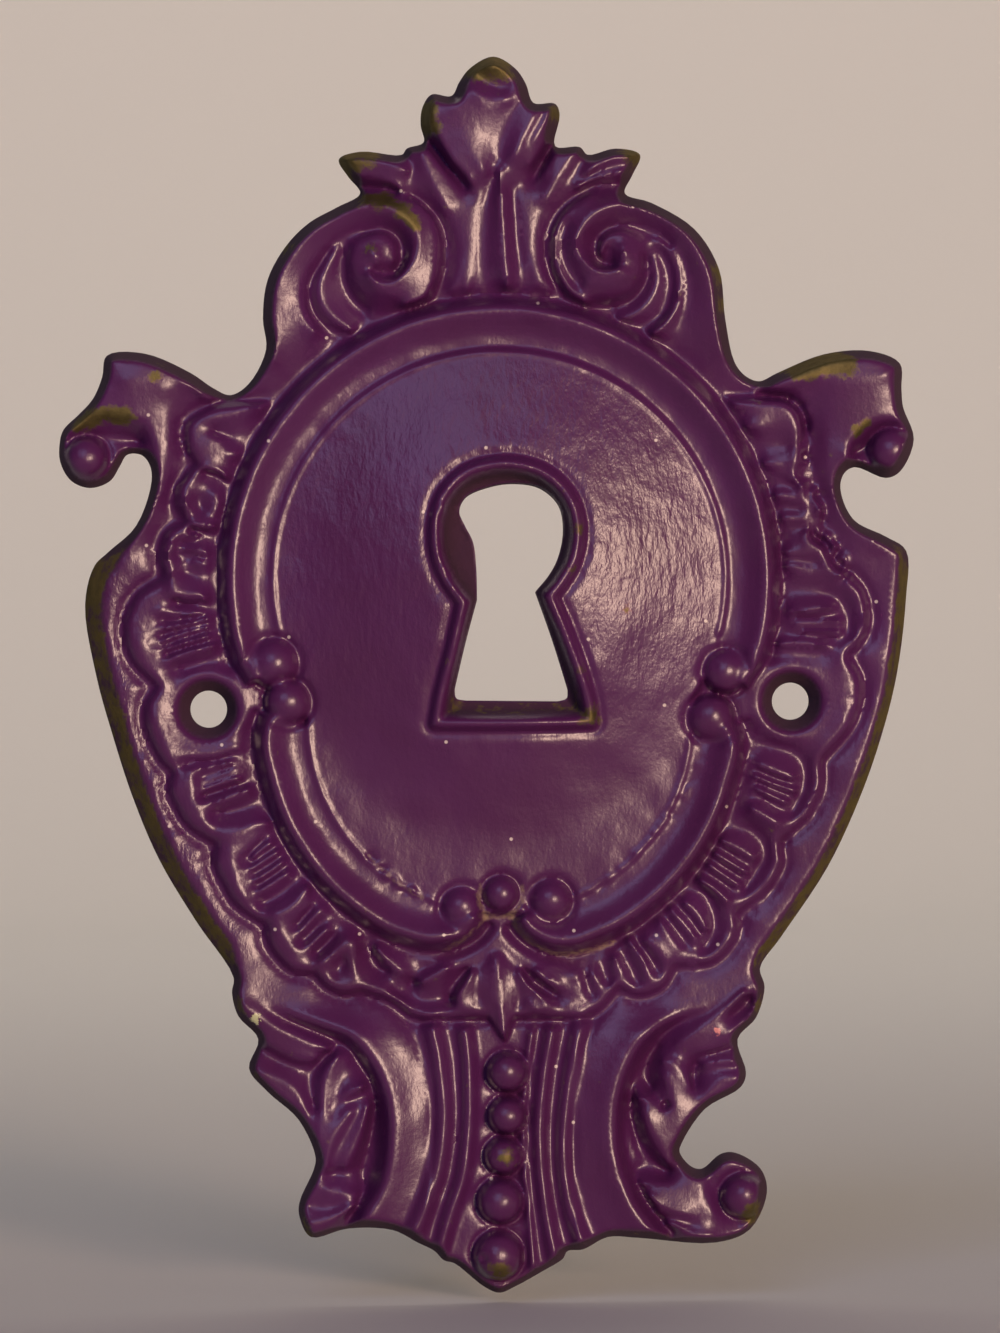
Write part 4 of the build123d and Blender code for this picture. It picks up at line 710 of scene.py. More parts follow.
def inside(x, z, line):
    """Distance to a closed line, positive inside it."""
    best = np.full(x.shape, 1e9)
    odd = np.zeros(x.shape, bool)
    for (ax, az), (bx, bz) in zip(line, np.roll(line, -1, axis=0)):
        ex, ez = bx - ax, bz - az
        if ex == 0 and ez == 0:
            continue
        t = np.clip(((x - ax) * ex + (z - az) * ez) / (ex * ex + ez * ez), 0, 1)
        np.minimum(best, (x - ax - t * ex) ** 2 + (z - az - t * ez) ** 2, out=best)
        if az != bz:
            odd ^= ((az > z) != (bz > z)) & (x < ex * (z - az) / (ez if ez else 1) + ax)
    return np.where(odd, 1, -1) * np.sqrt(best)


def beside(x, z, line):
    """Signed distance to an open line, positive right of its travel, and the share of its length."""
    best = np.full(x.shape, 1e9)
    side = np.zeros(x.shape)
    share = np.zeros(x.shape)
    steps = np.diff(line, axis=0)
    lengths = np.hypot(steps[:, 0], steps[:, 1])
    starts = np.concatenate([[0], np.cumsum(lengths)])
    for (ax, az), (ex, ez), length, start in zip(line, steps, lengths, starts):
        if length == 0:
            continue
        t = np.clip(((x - ax) * ex + (z - az) * ez) / length ** 2, 0, 1)
        gap = (x - ax - t * ex) ** 2 + (z - az - t * ez) ** 2
        near = gap < best
        best = np.where(near, gap, best)
        side = np.where(near, (x - ax) * ez - (z - az) * ex, side)
        share = np.where(near, (start + t * length) / starts[-1], share)
    return np.where(side >= 0, 1, -1) * np.sqrt(best), share


def ramp(v, a, b):
    """0 below a, 1 above b, and smooth between."""
    t = np.clip((v - a) / (b - a), 0, 1)
    return t * t * (3 - 2 * t)


def lower(a, b, k):
    """Smooth smaller of two heights, rounded over k."""
    return 0.5 * (a + b - np.sqrt((a - b) ** 2 + k * k))


def hump(v, width):
    """Rounded ridge: 1 on its line, 0 from its width on."""
    t = np.clip(1 - (v / width) ** 2, 0, 1)
    return t * t


def across(v, profile):
    """Height at an offset across a line, read from offset and height pairs."""
    offsets, heights = zip(*profile)
    return np.interp(v, offsets, heights)


def arc(centre, radius, start, end, count):
    """Points on a circle from one angle to another, in degrees."""
    a = np.radians(np.linspace(start, end, count))
    return [(centre[0] + radius * math.cos(v), centre[1] + radius * math.sin(v)) for v in a]


class Relief:
    """Heights in millimetres over a square grid, with tools that work in windows of it."""

    def __init__(self, pitch):
        self.pitch = pitch
        self.x0, self.z0, width, height = GRID
        columns = self.x0 + pitch * np.arange(int(width / pitch) + 1)
        rows = self.z0 + pitch * np.arange(int(height / pitch) + 1)
        self.x, self.z = np.meshgrid(columns, rows)
        self.h = np.full(self.x.shape, FLANGE[0])
        self.keen = np.zeros(self.x.shape)

    def window(self, line, reach):
        """Part of the grid within reach of a line."""
        low = (np.min(line, axis=0) - reach - (self.x0, self.z0)) / self.pitch
        high = (np.max(line, axis=0) + reach - (self.x0, self.z0)) / self.pitch + 2
        low = np.maximum(low, 0).astype(int)
        high = high.astype(int)
        return slice(low[1], high[1]), slice(low[0], high[0])

    def near(self, points, reach):
        """Window round a line, and a bell curve of the distance to it: 1 on the line, 0.37 at the reach."""
        line = smooth_line(points)
        w = self.window(line, 3 * reach)
        s, _ = beside(self.x[w], self.z[w], line)
        return w, np.exp(-(s / reach) ** 2)

    def ridge(self, points, width, height, fade=0.12, keen=0.0):
        """Raise a rounded ridge along a line, or sink a groove with a negative height.

        Keen above 0 asks for small cells along it.
        """
        line = smooth_line(points)
        w = self.window(line, width)
        s, t = beside(self.x[w], self.z[w], line)
        self.h[w] += height * hump(s, width) * ramp(t, -0.01, fade) * ramp(1 - t, -0.01, fade)
        self.keen[w] = np.maximum(self.keen[w], keen * hump(s, width))

    def ball(self, x, z, radius, top):
        """Half ball with its crown at a height and a sunk line round it."""
        w = self.window([(x, z)], radius + 0.9)
        r = np.hypot(self.x[w] - x, self.z[w] - z)
        self.h[w] -= 0.3 * hump(r - radius - 0.1, 0.4)
        crown = top - 0.95 * radius * (1 - np.sqrt(np.clip(1 - (r / radius) ** 2, 0, 1)))
        self.h[w] = np.where(r < radius, np.maximum(self.h[w], crown), self.h[w])

    def leaf(self, points, half, root, tip, crown, vein):
        """Leaf lobe: half width is a bent sine along the midrib, convex across, with a vein."""
        line = smooth_line(points)
        w = self.window(line, half + 0.6)
        s, t = beside(self.x[w], self.z[w], line)
        wide = half * np.sin(np.pi * np.clip(t, 0.02, 0.98) ** 0.6) ** 0.7
        u = np.abs(s) / wide
        swell = crown * np.sqrt(np.clip(1 - u * u, 0, 1)) - vein * hump(s, 0.35 * half)
        body = root + (tip - root) * t + swell
        self.h[w] = np.where(u < 1, np.maximum(self.h[w], body), self.h[w])

    def stretch(self, lines, free):
        """Skin between carved lines: the lines hold, and each free point takes its neighbours' mean.

        Black and white squares of a chess board move in turn, each past the mean by nine tenths.
        """
        total, count = np.zeros(self.h.shape), np.zeros(self.h.shape)
        for start, end, points in lines:
            line = smooth_line(points, 40)
            steps = np.diff(line, axis=0)
            walk = np.concatenate([[0], np.cumsum(np.hypot(steps[:, 0], steps[:, 1]))])
            i = np.rint((line[:, 1] - self.z0) / self.pitch).astype(int)
            j = np.rint((line[:, 0] - self.x0) / self.pitch).astype(int)
            np.add.at(total, (i, j), start + (end - start) * walk / walk[-1])
            np.add.at(count, (i, j), 1)
        free = np.pad(free[1:-1, 1:-1], 1)
        rows, cols = np.flatnonzero(free.any(axis=1)), np.flatnonzero(free.any(axis=0))
        w = slice(rows[0] - 1, rows[-1] + 2), slice(cols[0] - 1, cols[-1] + 2)
        held = (count[w] > 0) & free[w]
        h = np.where(held, total[w] / np.maximum(count[w], 1), self.h[w])
        moving = (free[w] & ~held)[1:-1, 1:-1]
        checks = (np.indices(moving.shape).sum(axis=0) % 2).astype(bool)
        turns = [1.9 / 4 * (moving & part) for part in (checks, ~checks)]
        for _ in range(340):
            for turn in turns:
                mean = h[:-2, 1:-1] + h[2:, 1:-1] + h[1:-1, :-2] + h[1:-1, 2:]
                h[1:-1, 1:-1] += turn * (mean - 4 * h[1:-1, 1:-1])
        self.h[w] = h

    def soften(self, h, size):
        """Blur heights by a bell curve of a size in millimetres."""
        n = int(np.ceil(3 * size / self.pitch))
        weights = np.exp(-0.5 * (np.arange(-n, n + 1) * self.pitch / size) ** 2)
        weights /= weights.sum()
        for axis in (0, 1):
            pad = [(n, n) if i == axis else (0, 0) for i in (0, 1)]
            p = np.pad(h, pad, mode="edge")
            span = np.arange(h.shape[axis])
            h = sum(v * np.take(p, span + i, axis=axis) for i, v in enumerate(weights))
        return h

    def sample(self, field, x, z):
        """Values of a field between grid points, straight between the four nearest."""
        u = np.clip((x - self.x0) / self.pitch, 0, field.shape[1] - 1.001)
        v = np.clip((z - self.z0) / self.pitch, 0, field.shape[0] - 1.001)
        i, j = v.astype(int), u.astype(int)
        a, b = v - i, u - j
        top = field[i, j] * (1 - b) + field[i, j + 1] * b
        return top * (1 - a) + (field[i + 1, j] * (1 - b) + field[i + 1, j + 1] * b) * a


def shell_line():
    """Closed outline of the shell band, lobe by lobe with cusps between."""
    left = [lobe[::-1] for lobe in SHELL_LEFT[::-1]]
    parts = SHELL_RIGHT + [[SHELL_RIGHT[-1][-1], left[0][0]]] + left + [[left[-1][-1], SHELL_RIGHT[0][0]]]
    return chain(parts)


def shell(r):
    """Flange that falls toward the shell band, and the lobes' rims: heights by distance to its outline."""
    s = inside(r.x, r.z, shell_line())
    r.shell = s
    r.h += FLANGE[1] * np.clip(-s, 0, FLANGE[2])
    faint = ramp(r.x, 2, 6) * ramp(-r.z, 2, 5)
    r.h += (1 - 0.3 * faint) * across(s, SHELL_PROFILE)


def foot(r):
    """Bands, ribs and sunk ground of the foot: profiles carried along their lines."""
    x, z = r.x, r.z
    for line, outward in ((smooth_line(BAND_LEFT), 1), (smooth_line(BAND_RIGHT), -1)):
        w = r.window(line, 10)
        s, _ = beside(x[w], z[w], line)
        s = s * outward
        below = ramp(-z[w], 19.0, 21.5)
        ground = 1.5 + 0.3 * ramp(s, 2.0, 4.5)
        outer = (s > 0) * ramp(s, 0.9, 1.6) * below
        r.h[w] += outer * (ground - r.h[w])
        share = ramp(s, -2.9, -2.4) * ramp(-s, -1.8, -1.3) * below
        r.h[w] += share * (across(s, BAND_PROFILE) - r.h[w])
    centre = ramp(-z, 20.2, 20.8) * ramp(-np.abs(x - 0.2), -4.9, -4.4)
    r.h += centre * (2.25 - r.h)
    for points, width, height in RIBS:
        r.ridge(points, width, height, 0.02, 0.3)


def scrolls(r):
    """C-scrolls, a profile carried along arcs, and the boss, a bell on the field inside them.

    The bell rises by a power of one less the squared distance from its middle.
    """
    x, z = r.x, r.z
    upper = np.array(UPPER_ENDS[0] + arc(UPPER_CENTRE, UPPER_RADIUS, 178, 2, 14) + UPPER_ENDS[1])
    low_left = np.array(LOWER_ENDS[0] + arc(LOWER_CENTRE, LOWER_RADIUS, 195, 238, 5) + LOWER_TAILS[0])
    low_right = np.array(LOWER_TAILS[1] + arc(LOWER_CENTRE, LOWER_RADIUS, 302, 345, 5) + LOWER_ENDS[1])
    within = np.maximum(UPPER_RADIUS - np.hypot(x, z - UPPER_CENTRE[1]),
                        LOWER_RADIUS - np.hypot(x, z - LOWER_CENTRE[1]))
    out = np.hypot((x - BOSS_CENTRE[0]) / BOSS_REACH[0], (z - BOSS_CENTRE[1]) / BOSS_REACH[1])
    bell = FIELD + (BOSS_PEAK - FIELD) * np.clip(1 - out * out, 0, 1) ** BOSS_FALL
    for line, flip in ((upper, 1), (low_left, -1), (low_right, -1)):
        line = smooth_line(line)
        w = r.window(line, 3.4)
        s, t = beside(x[w], z[w], line)
        s = -s * flip
        share = ramp(s, -3.3, -2.9) * ramp(-s, -1.7, -1.2) * (t > 0.001) * (t < 0.999)
        r.h[w] += share * (across(s, RING_PROFILE) - r.h[w])
    place, width, height = LIP
    r.h += ramp(within, 2.4, 2.75) * (bell - r.h) + height * hump(within - place, width)
    r.keen = np.maximum(r.keen, hump(within - 2.7, 0.4))
    r.brush = 0.25 + 0.65 * ramp(within, 2.9, 3.6) * ramp(z, -4, 4)
    return bell


def rim(r, bell):
    """Rim of the keyhole and its sloping throat: a profile carried along its line, set on the bell."""
    line = chain(RIM)
    w = r.window(line, 1.2)
    s = -inside(r.x[w], r.z[w], line)
    r.h[w] = np.where(s < 1.1, bell[w] + across(s, RIM_PROFILE), r.h[w])
    r.keen[w] = np.maximum(r.keen[w], hump(s - 0.4, 0.6))


def screw_seats(r):
    """Countersunk seats with a raised ring: a profile turned about each screw hole."""
    for x, z in SCREWS:
        d = np.hypot(r.x - x, r.z - z)
        share = ramp(-d, -3.2, -2.7)
        r.h += share * (across(d, SCREW_PROFILE) - r.h)


def carve(pitch, soft):
    """Whole relief of the front."""
    r = Relief(pitch)
    shell(r)
    foot(r)
    bell = scrolls(r)
    rim(r, bell)
    screw_seats(r)
    outside = -r.shell
    ring = np.hypot(r.x, r.z - UPPER_CENTRE[1]) - UPPER_RADIUS
    r.stretch(CREST_LINES + EAR_LINES, (r.z > 9.6) & (ring > 1.15) & (outside > 0.25))
    low_ring = np.hypot(r.x, r.z - LOWER_CENTRE[1]) - LOWER_RADIUS
    seats = np.min([np.hypot(r.x - x, r.z - z) for x, z in SCREWS], axis=0)
    band = (outside < -0.6) & (ring > 1.05) & (low_ring > 1.05) & (seats > 2.5)
    r.stretch(SHELL_LINES, band & ((np.abs(r.x) > 6.6) | (r.z < -15.9 + 0.16 * np.abs(r.x))))
    for points, sign in ((BAND_LEFT, 1), (BAND_RIGHT, -1)):
        line = smooth_line(points)
        w = r.window(line, 10)
        s, _ = beside(r.x[w], r.z[w], line)
        free = np.zeros(r.h.shape, bool)
        free[w] = (sign * s > 1.0) & (r.z[w] < -18.2) & (sign * r.x[w] < 0)
        r.stretch(FOOT_LINES, free)
    for points, half, root, tip, crown, vein in LEAVES:
        r.leaf(points, half, root, tip, crown, vein)
    for x, z, radius, top in CURLS:
        r.ball(x, z, radius, top)
    for points, width, height in SEAMS:
        r.ridge(points, width, height)
    r.h = r.soften(r.h, soft)
    paint_marks(r)
    walls(r, seats)
    wear(r)
    return r


def paint_marks(r):
    """Waves and lumps of the coat, as random heights blurred to a size, and strength of brush marks."""
    dice = np.random.default_rng(11)
    for size, depth in COAT_WAVES:
        waves = r.soften(dice.normal(size=r.h.shape), size)
        r.h += depth * waves / waves.std()
    w, near = r.near(BRUSHED, 1.6)
    r.brush[w] += 0.8 * near
    lumps = r.soften(dice.normal(size=r.h.shape), LUMP)
    lumps /= lumps.std()
    for points, reach, depth in CRUSTY:
        w, near = r.near(points, reach)
        r.h[w] += depth * near * lumps[w]


def walls(r, seats):
    """Drafted walls: the front ends at a height that grows with the distance inside the outline."""
    edge = inside(r.x, r.z, loop(RIGHT_EDGE + LEFT_EDGE))
    r.flank = ramp(r.z, -18.5, -15.0) * ramp(-r.z, -11.5, -8.5)
    draft = WALL_DRAFT + r.flank * (np.interp(r.x, (-26, 26), FLANK_DRAFT) - WALL_DRAFT)
    wall = WALL_FOOT + draft * np.clip(edge, -1, 9)
    r.outer = ramp(r.h - wall, -0.1, 0.25)
    hole = inside(r.x, r.z, chain(KEYHOLE))
    r.throat = ramp(-hole, 0, 0.1) * ramp(inside(r.x, r.z, chain(RIM)), 0.45, 0.7)
    # Share of wall: these faces get the dark ground colour, painted shade in part, and a dull finish.
    r.wall = np.maximum(np.maximum(r.outer, r.throat), ramp(-seats, -1.95, -1.75))
    r.depth = np.minimum(np.minimum(edge, -hole), seats - SCREW_RADIUS)
    r.h = lower(r.h, wall, 0.3)


def wear(r):
    """Shares of rubbed brass and of dust: ridges and the flanks are rubbed, hollows are dusty."""
    r.rub = np.clip((r.h - r.soften(r.h, 0.55)) / 0.5, 0, 0.12)
    r.rub += 0.62 * r.outer * r.flank + 0.4 * r.throat * (r.z < 1)
    for x, z, reach, strength in RUBBED:
        w = r.window([(x, z)], 2 * reach)
        r.rub[w] += strength * np.exp(-((r.x[w] - x) ** 2 + (r.z[w] - z) ** 2) / reach ** 2)
    r.dust = 0.12 * np.clip((r.soften(r.h, 0.5) - r.h) / 0.4, 0, 1)
    for points, reach, strength in DUSTY:
        w, near = r.near(points, reach)
        r.dust[w] += strength * near


def add_node(tree, kind, links=(), **values):
    """Add a node, set its properties or sockets, and link its inputs."""
    node = tree.nodes.new(kind)
    for name, value in values.items():
        setattr(node, name, value)
    for socket, source in links:
        if hasattr(source, "is_output"):
            tree.links.new(source, node.inputs[socket])
        else:
            node.inputs[socket].default_value = source
    return node


def painted_brass(paint, lean):
    """Thick gloss paint brushed on cast brass: wavy purple shine, olive brass where edges are bare."""
    mat = bpy.data.materials.new("purple_gloss_paint_brushed_on_cast_brass")
    mat.use_nodes = True
    tree = mat.node_tree
    tree.nodes.clear()
    place = add_node(tree, "ShaderNodeTexCoord").outputs["Object"]
    rub, wall, dust, brush = (
        add_node(tree, "ShaderNodeAttribute", attribute_name=name).outputs["Fac"]
        for name in ("rub", "wall", "dust", "brush"))
    # Broad patches about eight millimetres wide: the coat is redder where it lies thin.
    patch = add_node(tree, "ShaderNodeTexNoise", [
        ("Vector", place), ("Scale", 0.13 / MM), ("Detail", 6.0)])
    coat = add_node(tree, "ShaderNodeMix", [
        ("Factor", patch.outputs["Fac"]), ("A", paint.thin), ("B", paint.thick)], data_type="RGBA")
    # Grain of the dry coat, three grains to the millimetre.
    grit = add_node(tree, "ShaderNodeTexNoise", [
        ("Vector", place), ("Scale", 3 / MM), ("Detail", 3.0), ("Roughness", 0.6)])
    # Two small chips show older coats, and thin walls show the brown ground, made darker as painted shade.
    flat = add_node(tree, "ShaderNodeVectorMath", [
        (0, place), (1, (1.0, 0.0, 1.0))], operation="MULTIPLY")
    for x, z, reach, code in CHIPS:
        spot = (x * math.cos(lean) + z * math.sin(lean), 0, z * math.cos(lean) - x * math.sin(lean))
        gap = add_node(tree, "ShaderNodeVectorMath", [
            (0, flat.outputs[0]), (1, [v * MM for v in spot])], operation="DISTANCE")
        ragged = add_node(tree, "ShaderNodeMath", [
            (0, grit.outputs["Fac"]), (1, 1.4 * MM), (2, gap.outputs["Value"])],
            operation="MULTIPLY_ADD")
        chip = add_node(tree, "ShaderNodeMapRange", [
            ("Value", ragged.outputs[0]), ("From Min", (reach + 0.66) * MM),
            ("From Max", (reach + 0.58) * MM)])
        coat = add_node(tree, "ShaderNodeMix", [
            ("Factor", chip.outputs["Result"]), ("A", coat.outputs["Result"]),
            ("B", to_linear(code))], data_type="RGBA")
    # Painted shade in part: walls, the keyhole's throat, the countersinks and the back go seven tenths
    # toward the dark ground, darker than their own thin coat.
    thin = add_node(tree, "ShaderNodeMath", [(0, wall), (1, 0.7)], operation="MULTIPLY")
    coat = add_node(tree, "ShaderNodeMix", [
        ("Factor", thin.outputs[0]), ("A", coat.outputs["Result"]), ("B", paint.ground)],
        data_type="RGBA")
    # Dust in the hollows, broken up by the grain.
    dusty = add_node(tree, "ShaderNodeMath", [
        (0, grit.outputs["Fac"]), (1, dust)], operation="MULTIPLY")
    settled = add_node(tree, "ShaderNodeMapRange", [
        ("Value", dusty.outputs[0]), ("From Min", 0.28), ("From Max", 0.66)])
    coat = add_node(tree, "ShaderNodeMix", [
        ("Factor", settled.outputs["Result"]), ("A", coat.outputs["Result"]), ("B", paint.dust)],
        data_type="RGBA")
    # White specks of dust on the front: a tenth of a millimetre in radius, in half of the cells, which
    # are about seven millimetres wide. Distances are shares of a cell.
    axes = add_node(tree, "ShaderNodeSeparateXYZ", [("Vector", place)])
    plane = add_node(tree, "ShaderNodeCombineXYZ", [
        ("X", axes.outputs["X"]), ("Y", axes.outputs["Z"])])
    cells = add_node(tree, "ShaderNodeTexVoronoi", [
        ("Vector", plane.outputs[0]), ("Scale", 0.15 / MM)], voronoi_dimensions="2D")
    speck = add_node(tree, "ShaderNodeMapRange", [
        ("Value", cells.outputs["Distance"]), ("From Min", 0.02), ("From Max", 0.012)])
    bar = add_node(tree, "ShaderNodeMath", [(0, wall), (1, 0.5)], operation="ADD")
    lot = add_node(tree, "ShaderNodeMath", [
        (0, cells.outputs["Color"]), (1, bar.outputs[0])], operation="GREATER_THAN")
    white = add_node(tree, "ShaderNodeMath", [
        (0, speck.outputs["Result"]), (1, lot.outputs[0])], operation="MULTIPLY")
    coat = add_node(tree, "ShaderNodeMix", [
        ("Factor", white.outputs[0]), ("A", coat.outputs["Result"]), ("B", paint.speck)],
        data_type="RGBA")
    # Bare brass, dull and olive with age, torn into at its border at about a millimetre.
    age = add_node(tree, "ShaderNodeTexNoise", [
        ("Vector", place), ("Scale", 0.9 / MM), ("Detail", 8.0), ("Roughness", 0.72)])
    metal = add_node(tree, "ShaderNodeMix", [
        ("Factor", age.outputs["Fac"]), ("A", paint.brass_dark), ("B", paint.brass_light)],
        data_type="RGBA")
    torn = add_node(tree, "ShaderNodeMath", [
        (0, age.outputs["Fac"]), (1, 2.4), (2, rub)], operation="MULTIPLY_ADD")
    bare = add_node(tree, "ShaderNodeMapRange", [
        ("Value", torn.outputs[0]), ("From Min", 1.66), ("From Max", 1.98)])
    coat = add_node(tree, "ShaderNodeMix", [
        ("Factor", bare.outputs["Result"]), ("A", coat.outputs["Result"]),
        ("B", metal.outputs["Result"])], data_type="RGBA")
    # Shine: gloss on the face, dull on walls and dust, and between the two on brass.
    dull = add_node(tree, "ShaderNodeMath", [
        (0, wall), (1, settled.outputs["Result"])], operation="MAXIMUM")
    worn = add_node(tree, "ShaderNodeMath", [
        (0, bare.outputs["Result"]), (1, 0.5)], operation="MULTIPLY")
    dull = add_node(tree, "ShaderNodeMath", [
        (0, dull.outputs[0]), (1, worn.outputs[0])], operation="MAXIMUM")
    shine = add_node(tree, "ShaderNodeMapRange", [
        ("Value", dull.outputs[0]), ("To Min", 0.32), ("To Max", 0.95)])
    # Marks of the brush, half a millimetre wide and longer upward, over the grain of the dry coat.
    upward = add_node(tree, "ShaderNodeMapping", [("Vector", place), ("Scale", (1.0, 1.0, 0.45))])
    strokes = add_node(tree, "ShaderNodeTexNoise", [
        ("Vector", upward.outputs[0]), ("Scale", 2 / MM), ("Detail", 3.0), ("Roughness", 0.6)])
    marks = add_node(tree, "ShaderNodeMath", [
        (0, strokes.outputs["Fac"]), (1, brush)], operation="MULTIPLY")
    waves = add_node(tree, "ShaderNodeBump", [
        ("Height", marks.outputs[0]), ("Strength", 0.9), ("Distance", 0.09 * MM)])
    grain = add_node(tree, "ShaderNodeBump", [
        ("Height", grit.outputs["Fac"]), ("Strength", 0.3), ("Distance", 0.05 * MM),
        ("Normal", waves.outputs["Normal"])])
    skin = add_node(tree, "ShaderNodeBsdfPrincipled", [
        ("Base Color", coat.outputs["Result"]), ("Metallic", bare.outputs["Result"]),
        ("Roughness", shine.outputs["Result"]), ("Normal", grain.outputs["Normal"])])
    add_node(tree, "ShaderNodeOutputMaterial", [("Surface", skin.outputs["BSDF"])])
    return mat


def cell_faces(index, step, large, finer):
    """Faces of square cells some grid steps wide, as quads and triangles.

    A cell beside finer ones is a fan of triangles round its middle.
    """
    half = step // 2
    lo, mid, hi = slice(0, -step, step), slice(half, None, step), slice(step, None, step)
    corners = np.stack([index[lo, lo], index[lo, hi], index[hi, hi], index[hi, lo]], -1)
    mids = np.stack([index[lo, mid], index[mid, hi], index[hi, mid], index[mid, lo]], -1)
    middle = np.repeat(index[mid, mid, None], 4, axis=2)
    nexts = np.roll(corners, -1, axis=2)
    pad = np.pad(finer, 1)
    cut = np.stack([pad[:-2, 1:-1], pad[1:-1, 2:], pad[2:, 1:-1], pad[1:-1, :-2]], -1)
    plain = large & ~cut.any(axis=2)
    fans = (large & ~plain)[:, :, None]
    tris = np.concatenate([np.stack([middle, corners, nexts], -1)[fans & ~cut],
                           np.stack([middle, corners, mids], -1)[fans & cut],
                           np.stack([middle, mids, nexts], -1)[fans & cut]])
    return corners[plain], tris


def front_cells(r, cell, share):
    """Grid of square cells in three sizes, each twice the last: the smallest where the relief bends most.

    Gives the grid's points, their depth inside the outline, quads, triangles and the edges of the border.
    """
    rows, cols = 4 * int(GRID[3] / 4 / cell - 1), 4 * int(GRID[2] / 4 / cell - 1)
    x, z = np.meshgrid(r.x0 + cell * np.arange(cols + 1), r.z0 + cell * np.arange(rows + 1))
    depth, h = r.sample(r.depth, x, z), r.sample(r.h, x, z)
    kept = (depth[:-1, :-1] + depth[1:, :-1] + depth[:-1, 1:] + depth[1:, 1:]) / 4 > 0
    bend = np.zeros(h.shape)
    bend[1:-1, 1:-1] = (np.abs(h[1:-1, 2:] - 2 * h[1:-1, 1:-1] + h[1:-1, :-2])
                        + np.abs(h[2:, 1:-1] - 2 * h[1:-1, 1:-1] + h[:-2, 1:-1])
                        + 0.5 * np.abs(h[2:, 2:] - h[2:, :-2] - h[:-2, 2:] + h[:-2, :-2]))
    bend += r.sample(r.keen, x, z)
    tops = bend[:-1, :-1].reshape(rows // 2, 2, cols // 2, 2).max(axis=(1, 3))
    near = depth[:-1, :-1].reshape(rows // 2, 2, cols // 2, 2).min(axis=(1, 3)) < 0.25
    some = kept.reshape(rows // 2, 2, cols // 2, 2).any(axis=(1, 3))
    full = kept.reshape(rows // 2, 2, cols // 2, 2).all(axis=(1, 3))
    small = some & (~full | near | (tops > np.quantile(tops[full], 1 - share)))
    by_four = (rows // 4, 2, cols // 4, 2)
    busy = np.pad(small.reshape(by_four).any(axis=(1, 3)), 1)
    medium = np.max([busy[i:i + rows // 4, j:j + cols // 4] for i in range(3) for j in range(3)], axis=0)
    calm = tops.reshape(by_four).max(axis=(1, 3)) < np.quantile(tops[full], 0.62)
    medium |= ~calm | ~full.reshape(by_four).all(axis=(1, 3))
    index = np.arange(x.size).reshape(x.shape)
    fine = kept & small.repeat(2, axis=0).repeat(2, axis=1)
    quads = np.stack([index[:-1, :-1], index[:-1, 1:], index[1:, 1:], index[1:, :-1]], -1)[fine]
    halves = cell_faces(index, 2, full & ~small & medium.repeat(2, axis=0).repeat(2, axis=1), small)
    wholes = cell_faces(index, 4, ~medium, medium)
    quads = np.concatenate([quads, halves[0], wholes[0]])
    tris = np.concatenate([halves[1], wholes[1]])
    edges = np.concatenate([
        np.stack([f.ravel(), np.roll(f, -1, axis=1).ravel()], 1) for f in (quads, tris)])
    border = edges[~np.isin(edges[:, 0] * x.size + edges[:, 1], edges[:, 1] * x.size + edges[:, 0])]
    return x, z, depth, quads, tris, border


def within_border(tris, lines, count):
    """Triangles on the left of the border's directed edges.

    Those on the right are left out, and so is all that can be reached from them without crossing.
    """
    starts, ends = tris, np.roll(tris, -1, axis=1)
    out = np.isin(starts * count + ends, lines[:, 1] * count + lines[:, 0]).any(axis=1)
    keys = np.minimum(starts, ends) * count + np.maximum(starts, ends)
    names, spot = np.unique(keys, return_inverse=True)
    spot = spot.reshape(tris.shape)
    passable = ~np.isin(names, lines.min(axis=1) * count + lines.max(axis=1))
    for _ in range(len(tris)):
        reached = np.zeros(len(names), bool)
        reached[spot[out]] = True
        grown = out | (reached & passable)[spot].any(axis=1)
        if (grown == out).all():
            break
        out = grown
    return tris[~out]


def settle_border(r, px, pz, a, b):
    """Slide the ends of the border's edges onto the outline, down the slope of the depth, evenly spaced."""
    ends = np.unique(a)
    gz, gx = np.gradient(r.depth, r.pitch)
    for turn in range(6):
        d = r.sample(r.depth, px[ends], pz[ends])
        ux, uz = r.sample(gx, px[ends], pz[ends]), r.sample(gz, px[ends], pz[ends])
        size = np.maximum(ux * ux + uz * uz, 0.3)
        px[ends] -= d * ux / size
        pz[ends] -= d * uz / size
        if turn < 4:
            for v in (px, pz):
                even = v.copy()
                even[a] += 0.25 * (v[b] - v[a])
                even[b] += 0.25 * (v[a] - v[b])
                v[:] = even
    return ends


def back_faces(border, inner, lines, dish):
    """Points and triangles of the back: flat, with a round dish behind the boss that falls smoothly."""
    flat = np.concatenate([border, inner])
    made = mathutils.geometry.delaunay_2d_cdt(flat.tolist(), lines.tolist(), [], 0, 1e-6)
    flat, tris = np.array(made[0]), within_border(np.array(made[2]), lines, len(made[0]))
    hollow = np.hypot(flat[:, 0] - BOSS_CENTRE[0], flat[:, 1] - BOSS_CENTRE[1])
    back = np.stack([flat[:, 0], -dish * ramp(-hollow, *DISH_REACH), flat[:, 1]], 1)
    back[:len(border), 1] = 0
    side = np.cross(back[tris[:, 1]] - back[tris[:, 0]], back[tris[:, 2]] - back[tris[:, 0]])[:, 1]
    return back, np.where((side < 0)[:, None], tris[:, ::-1], tris)


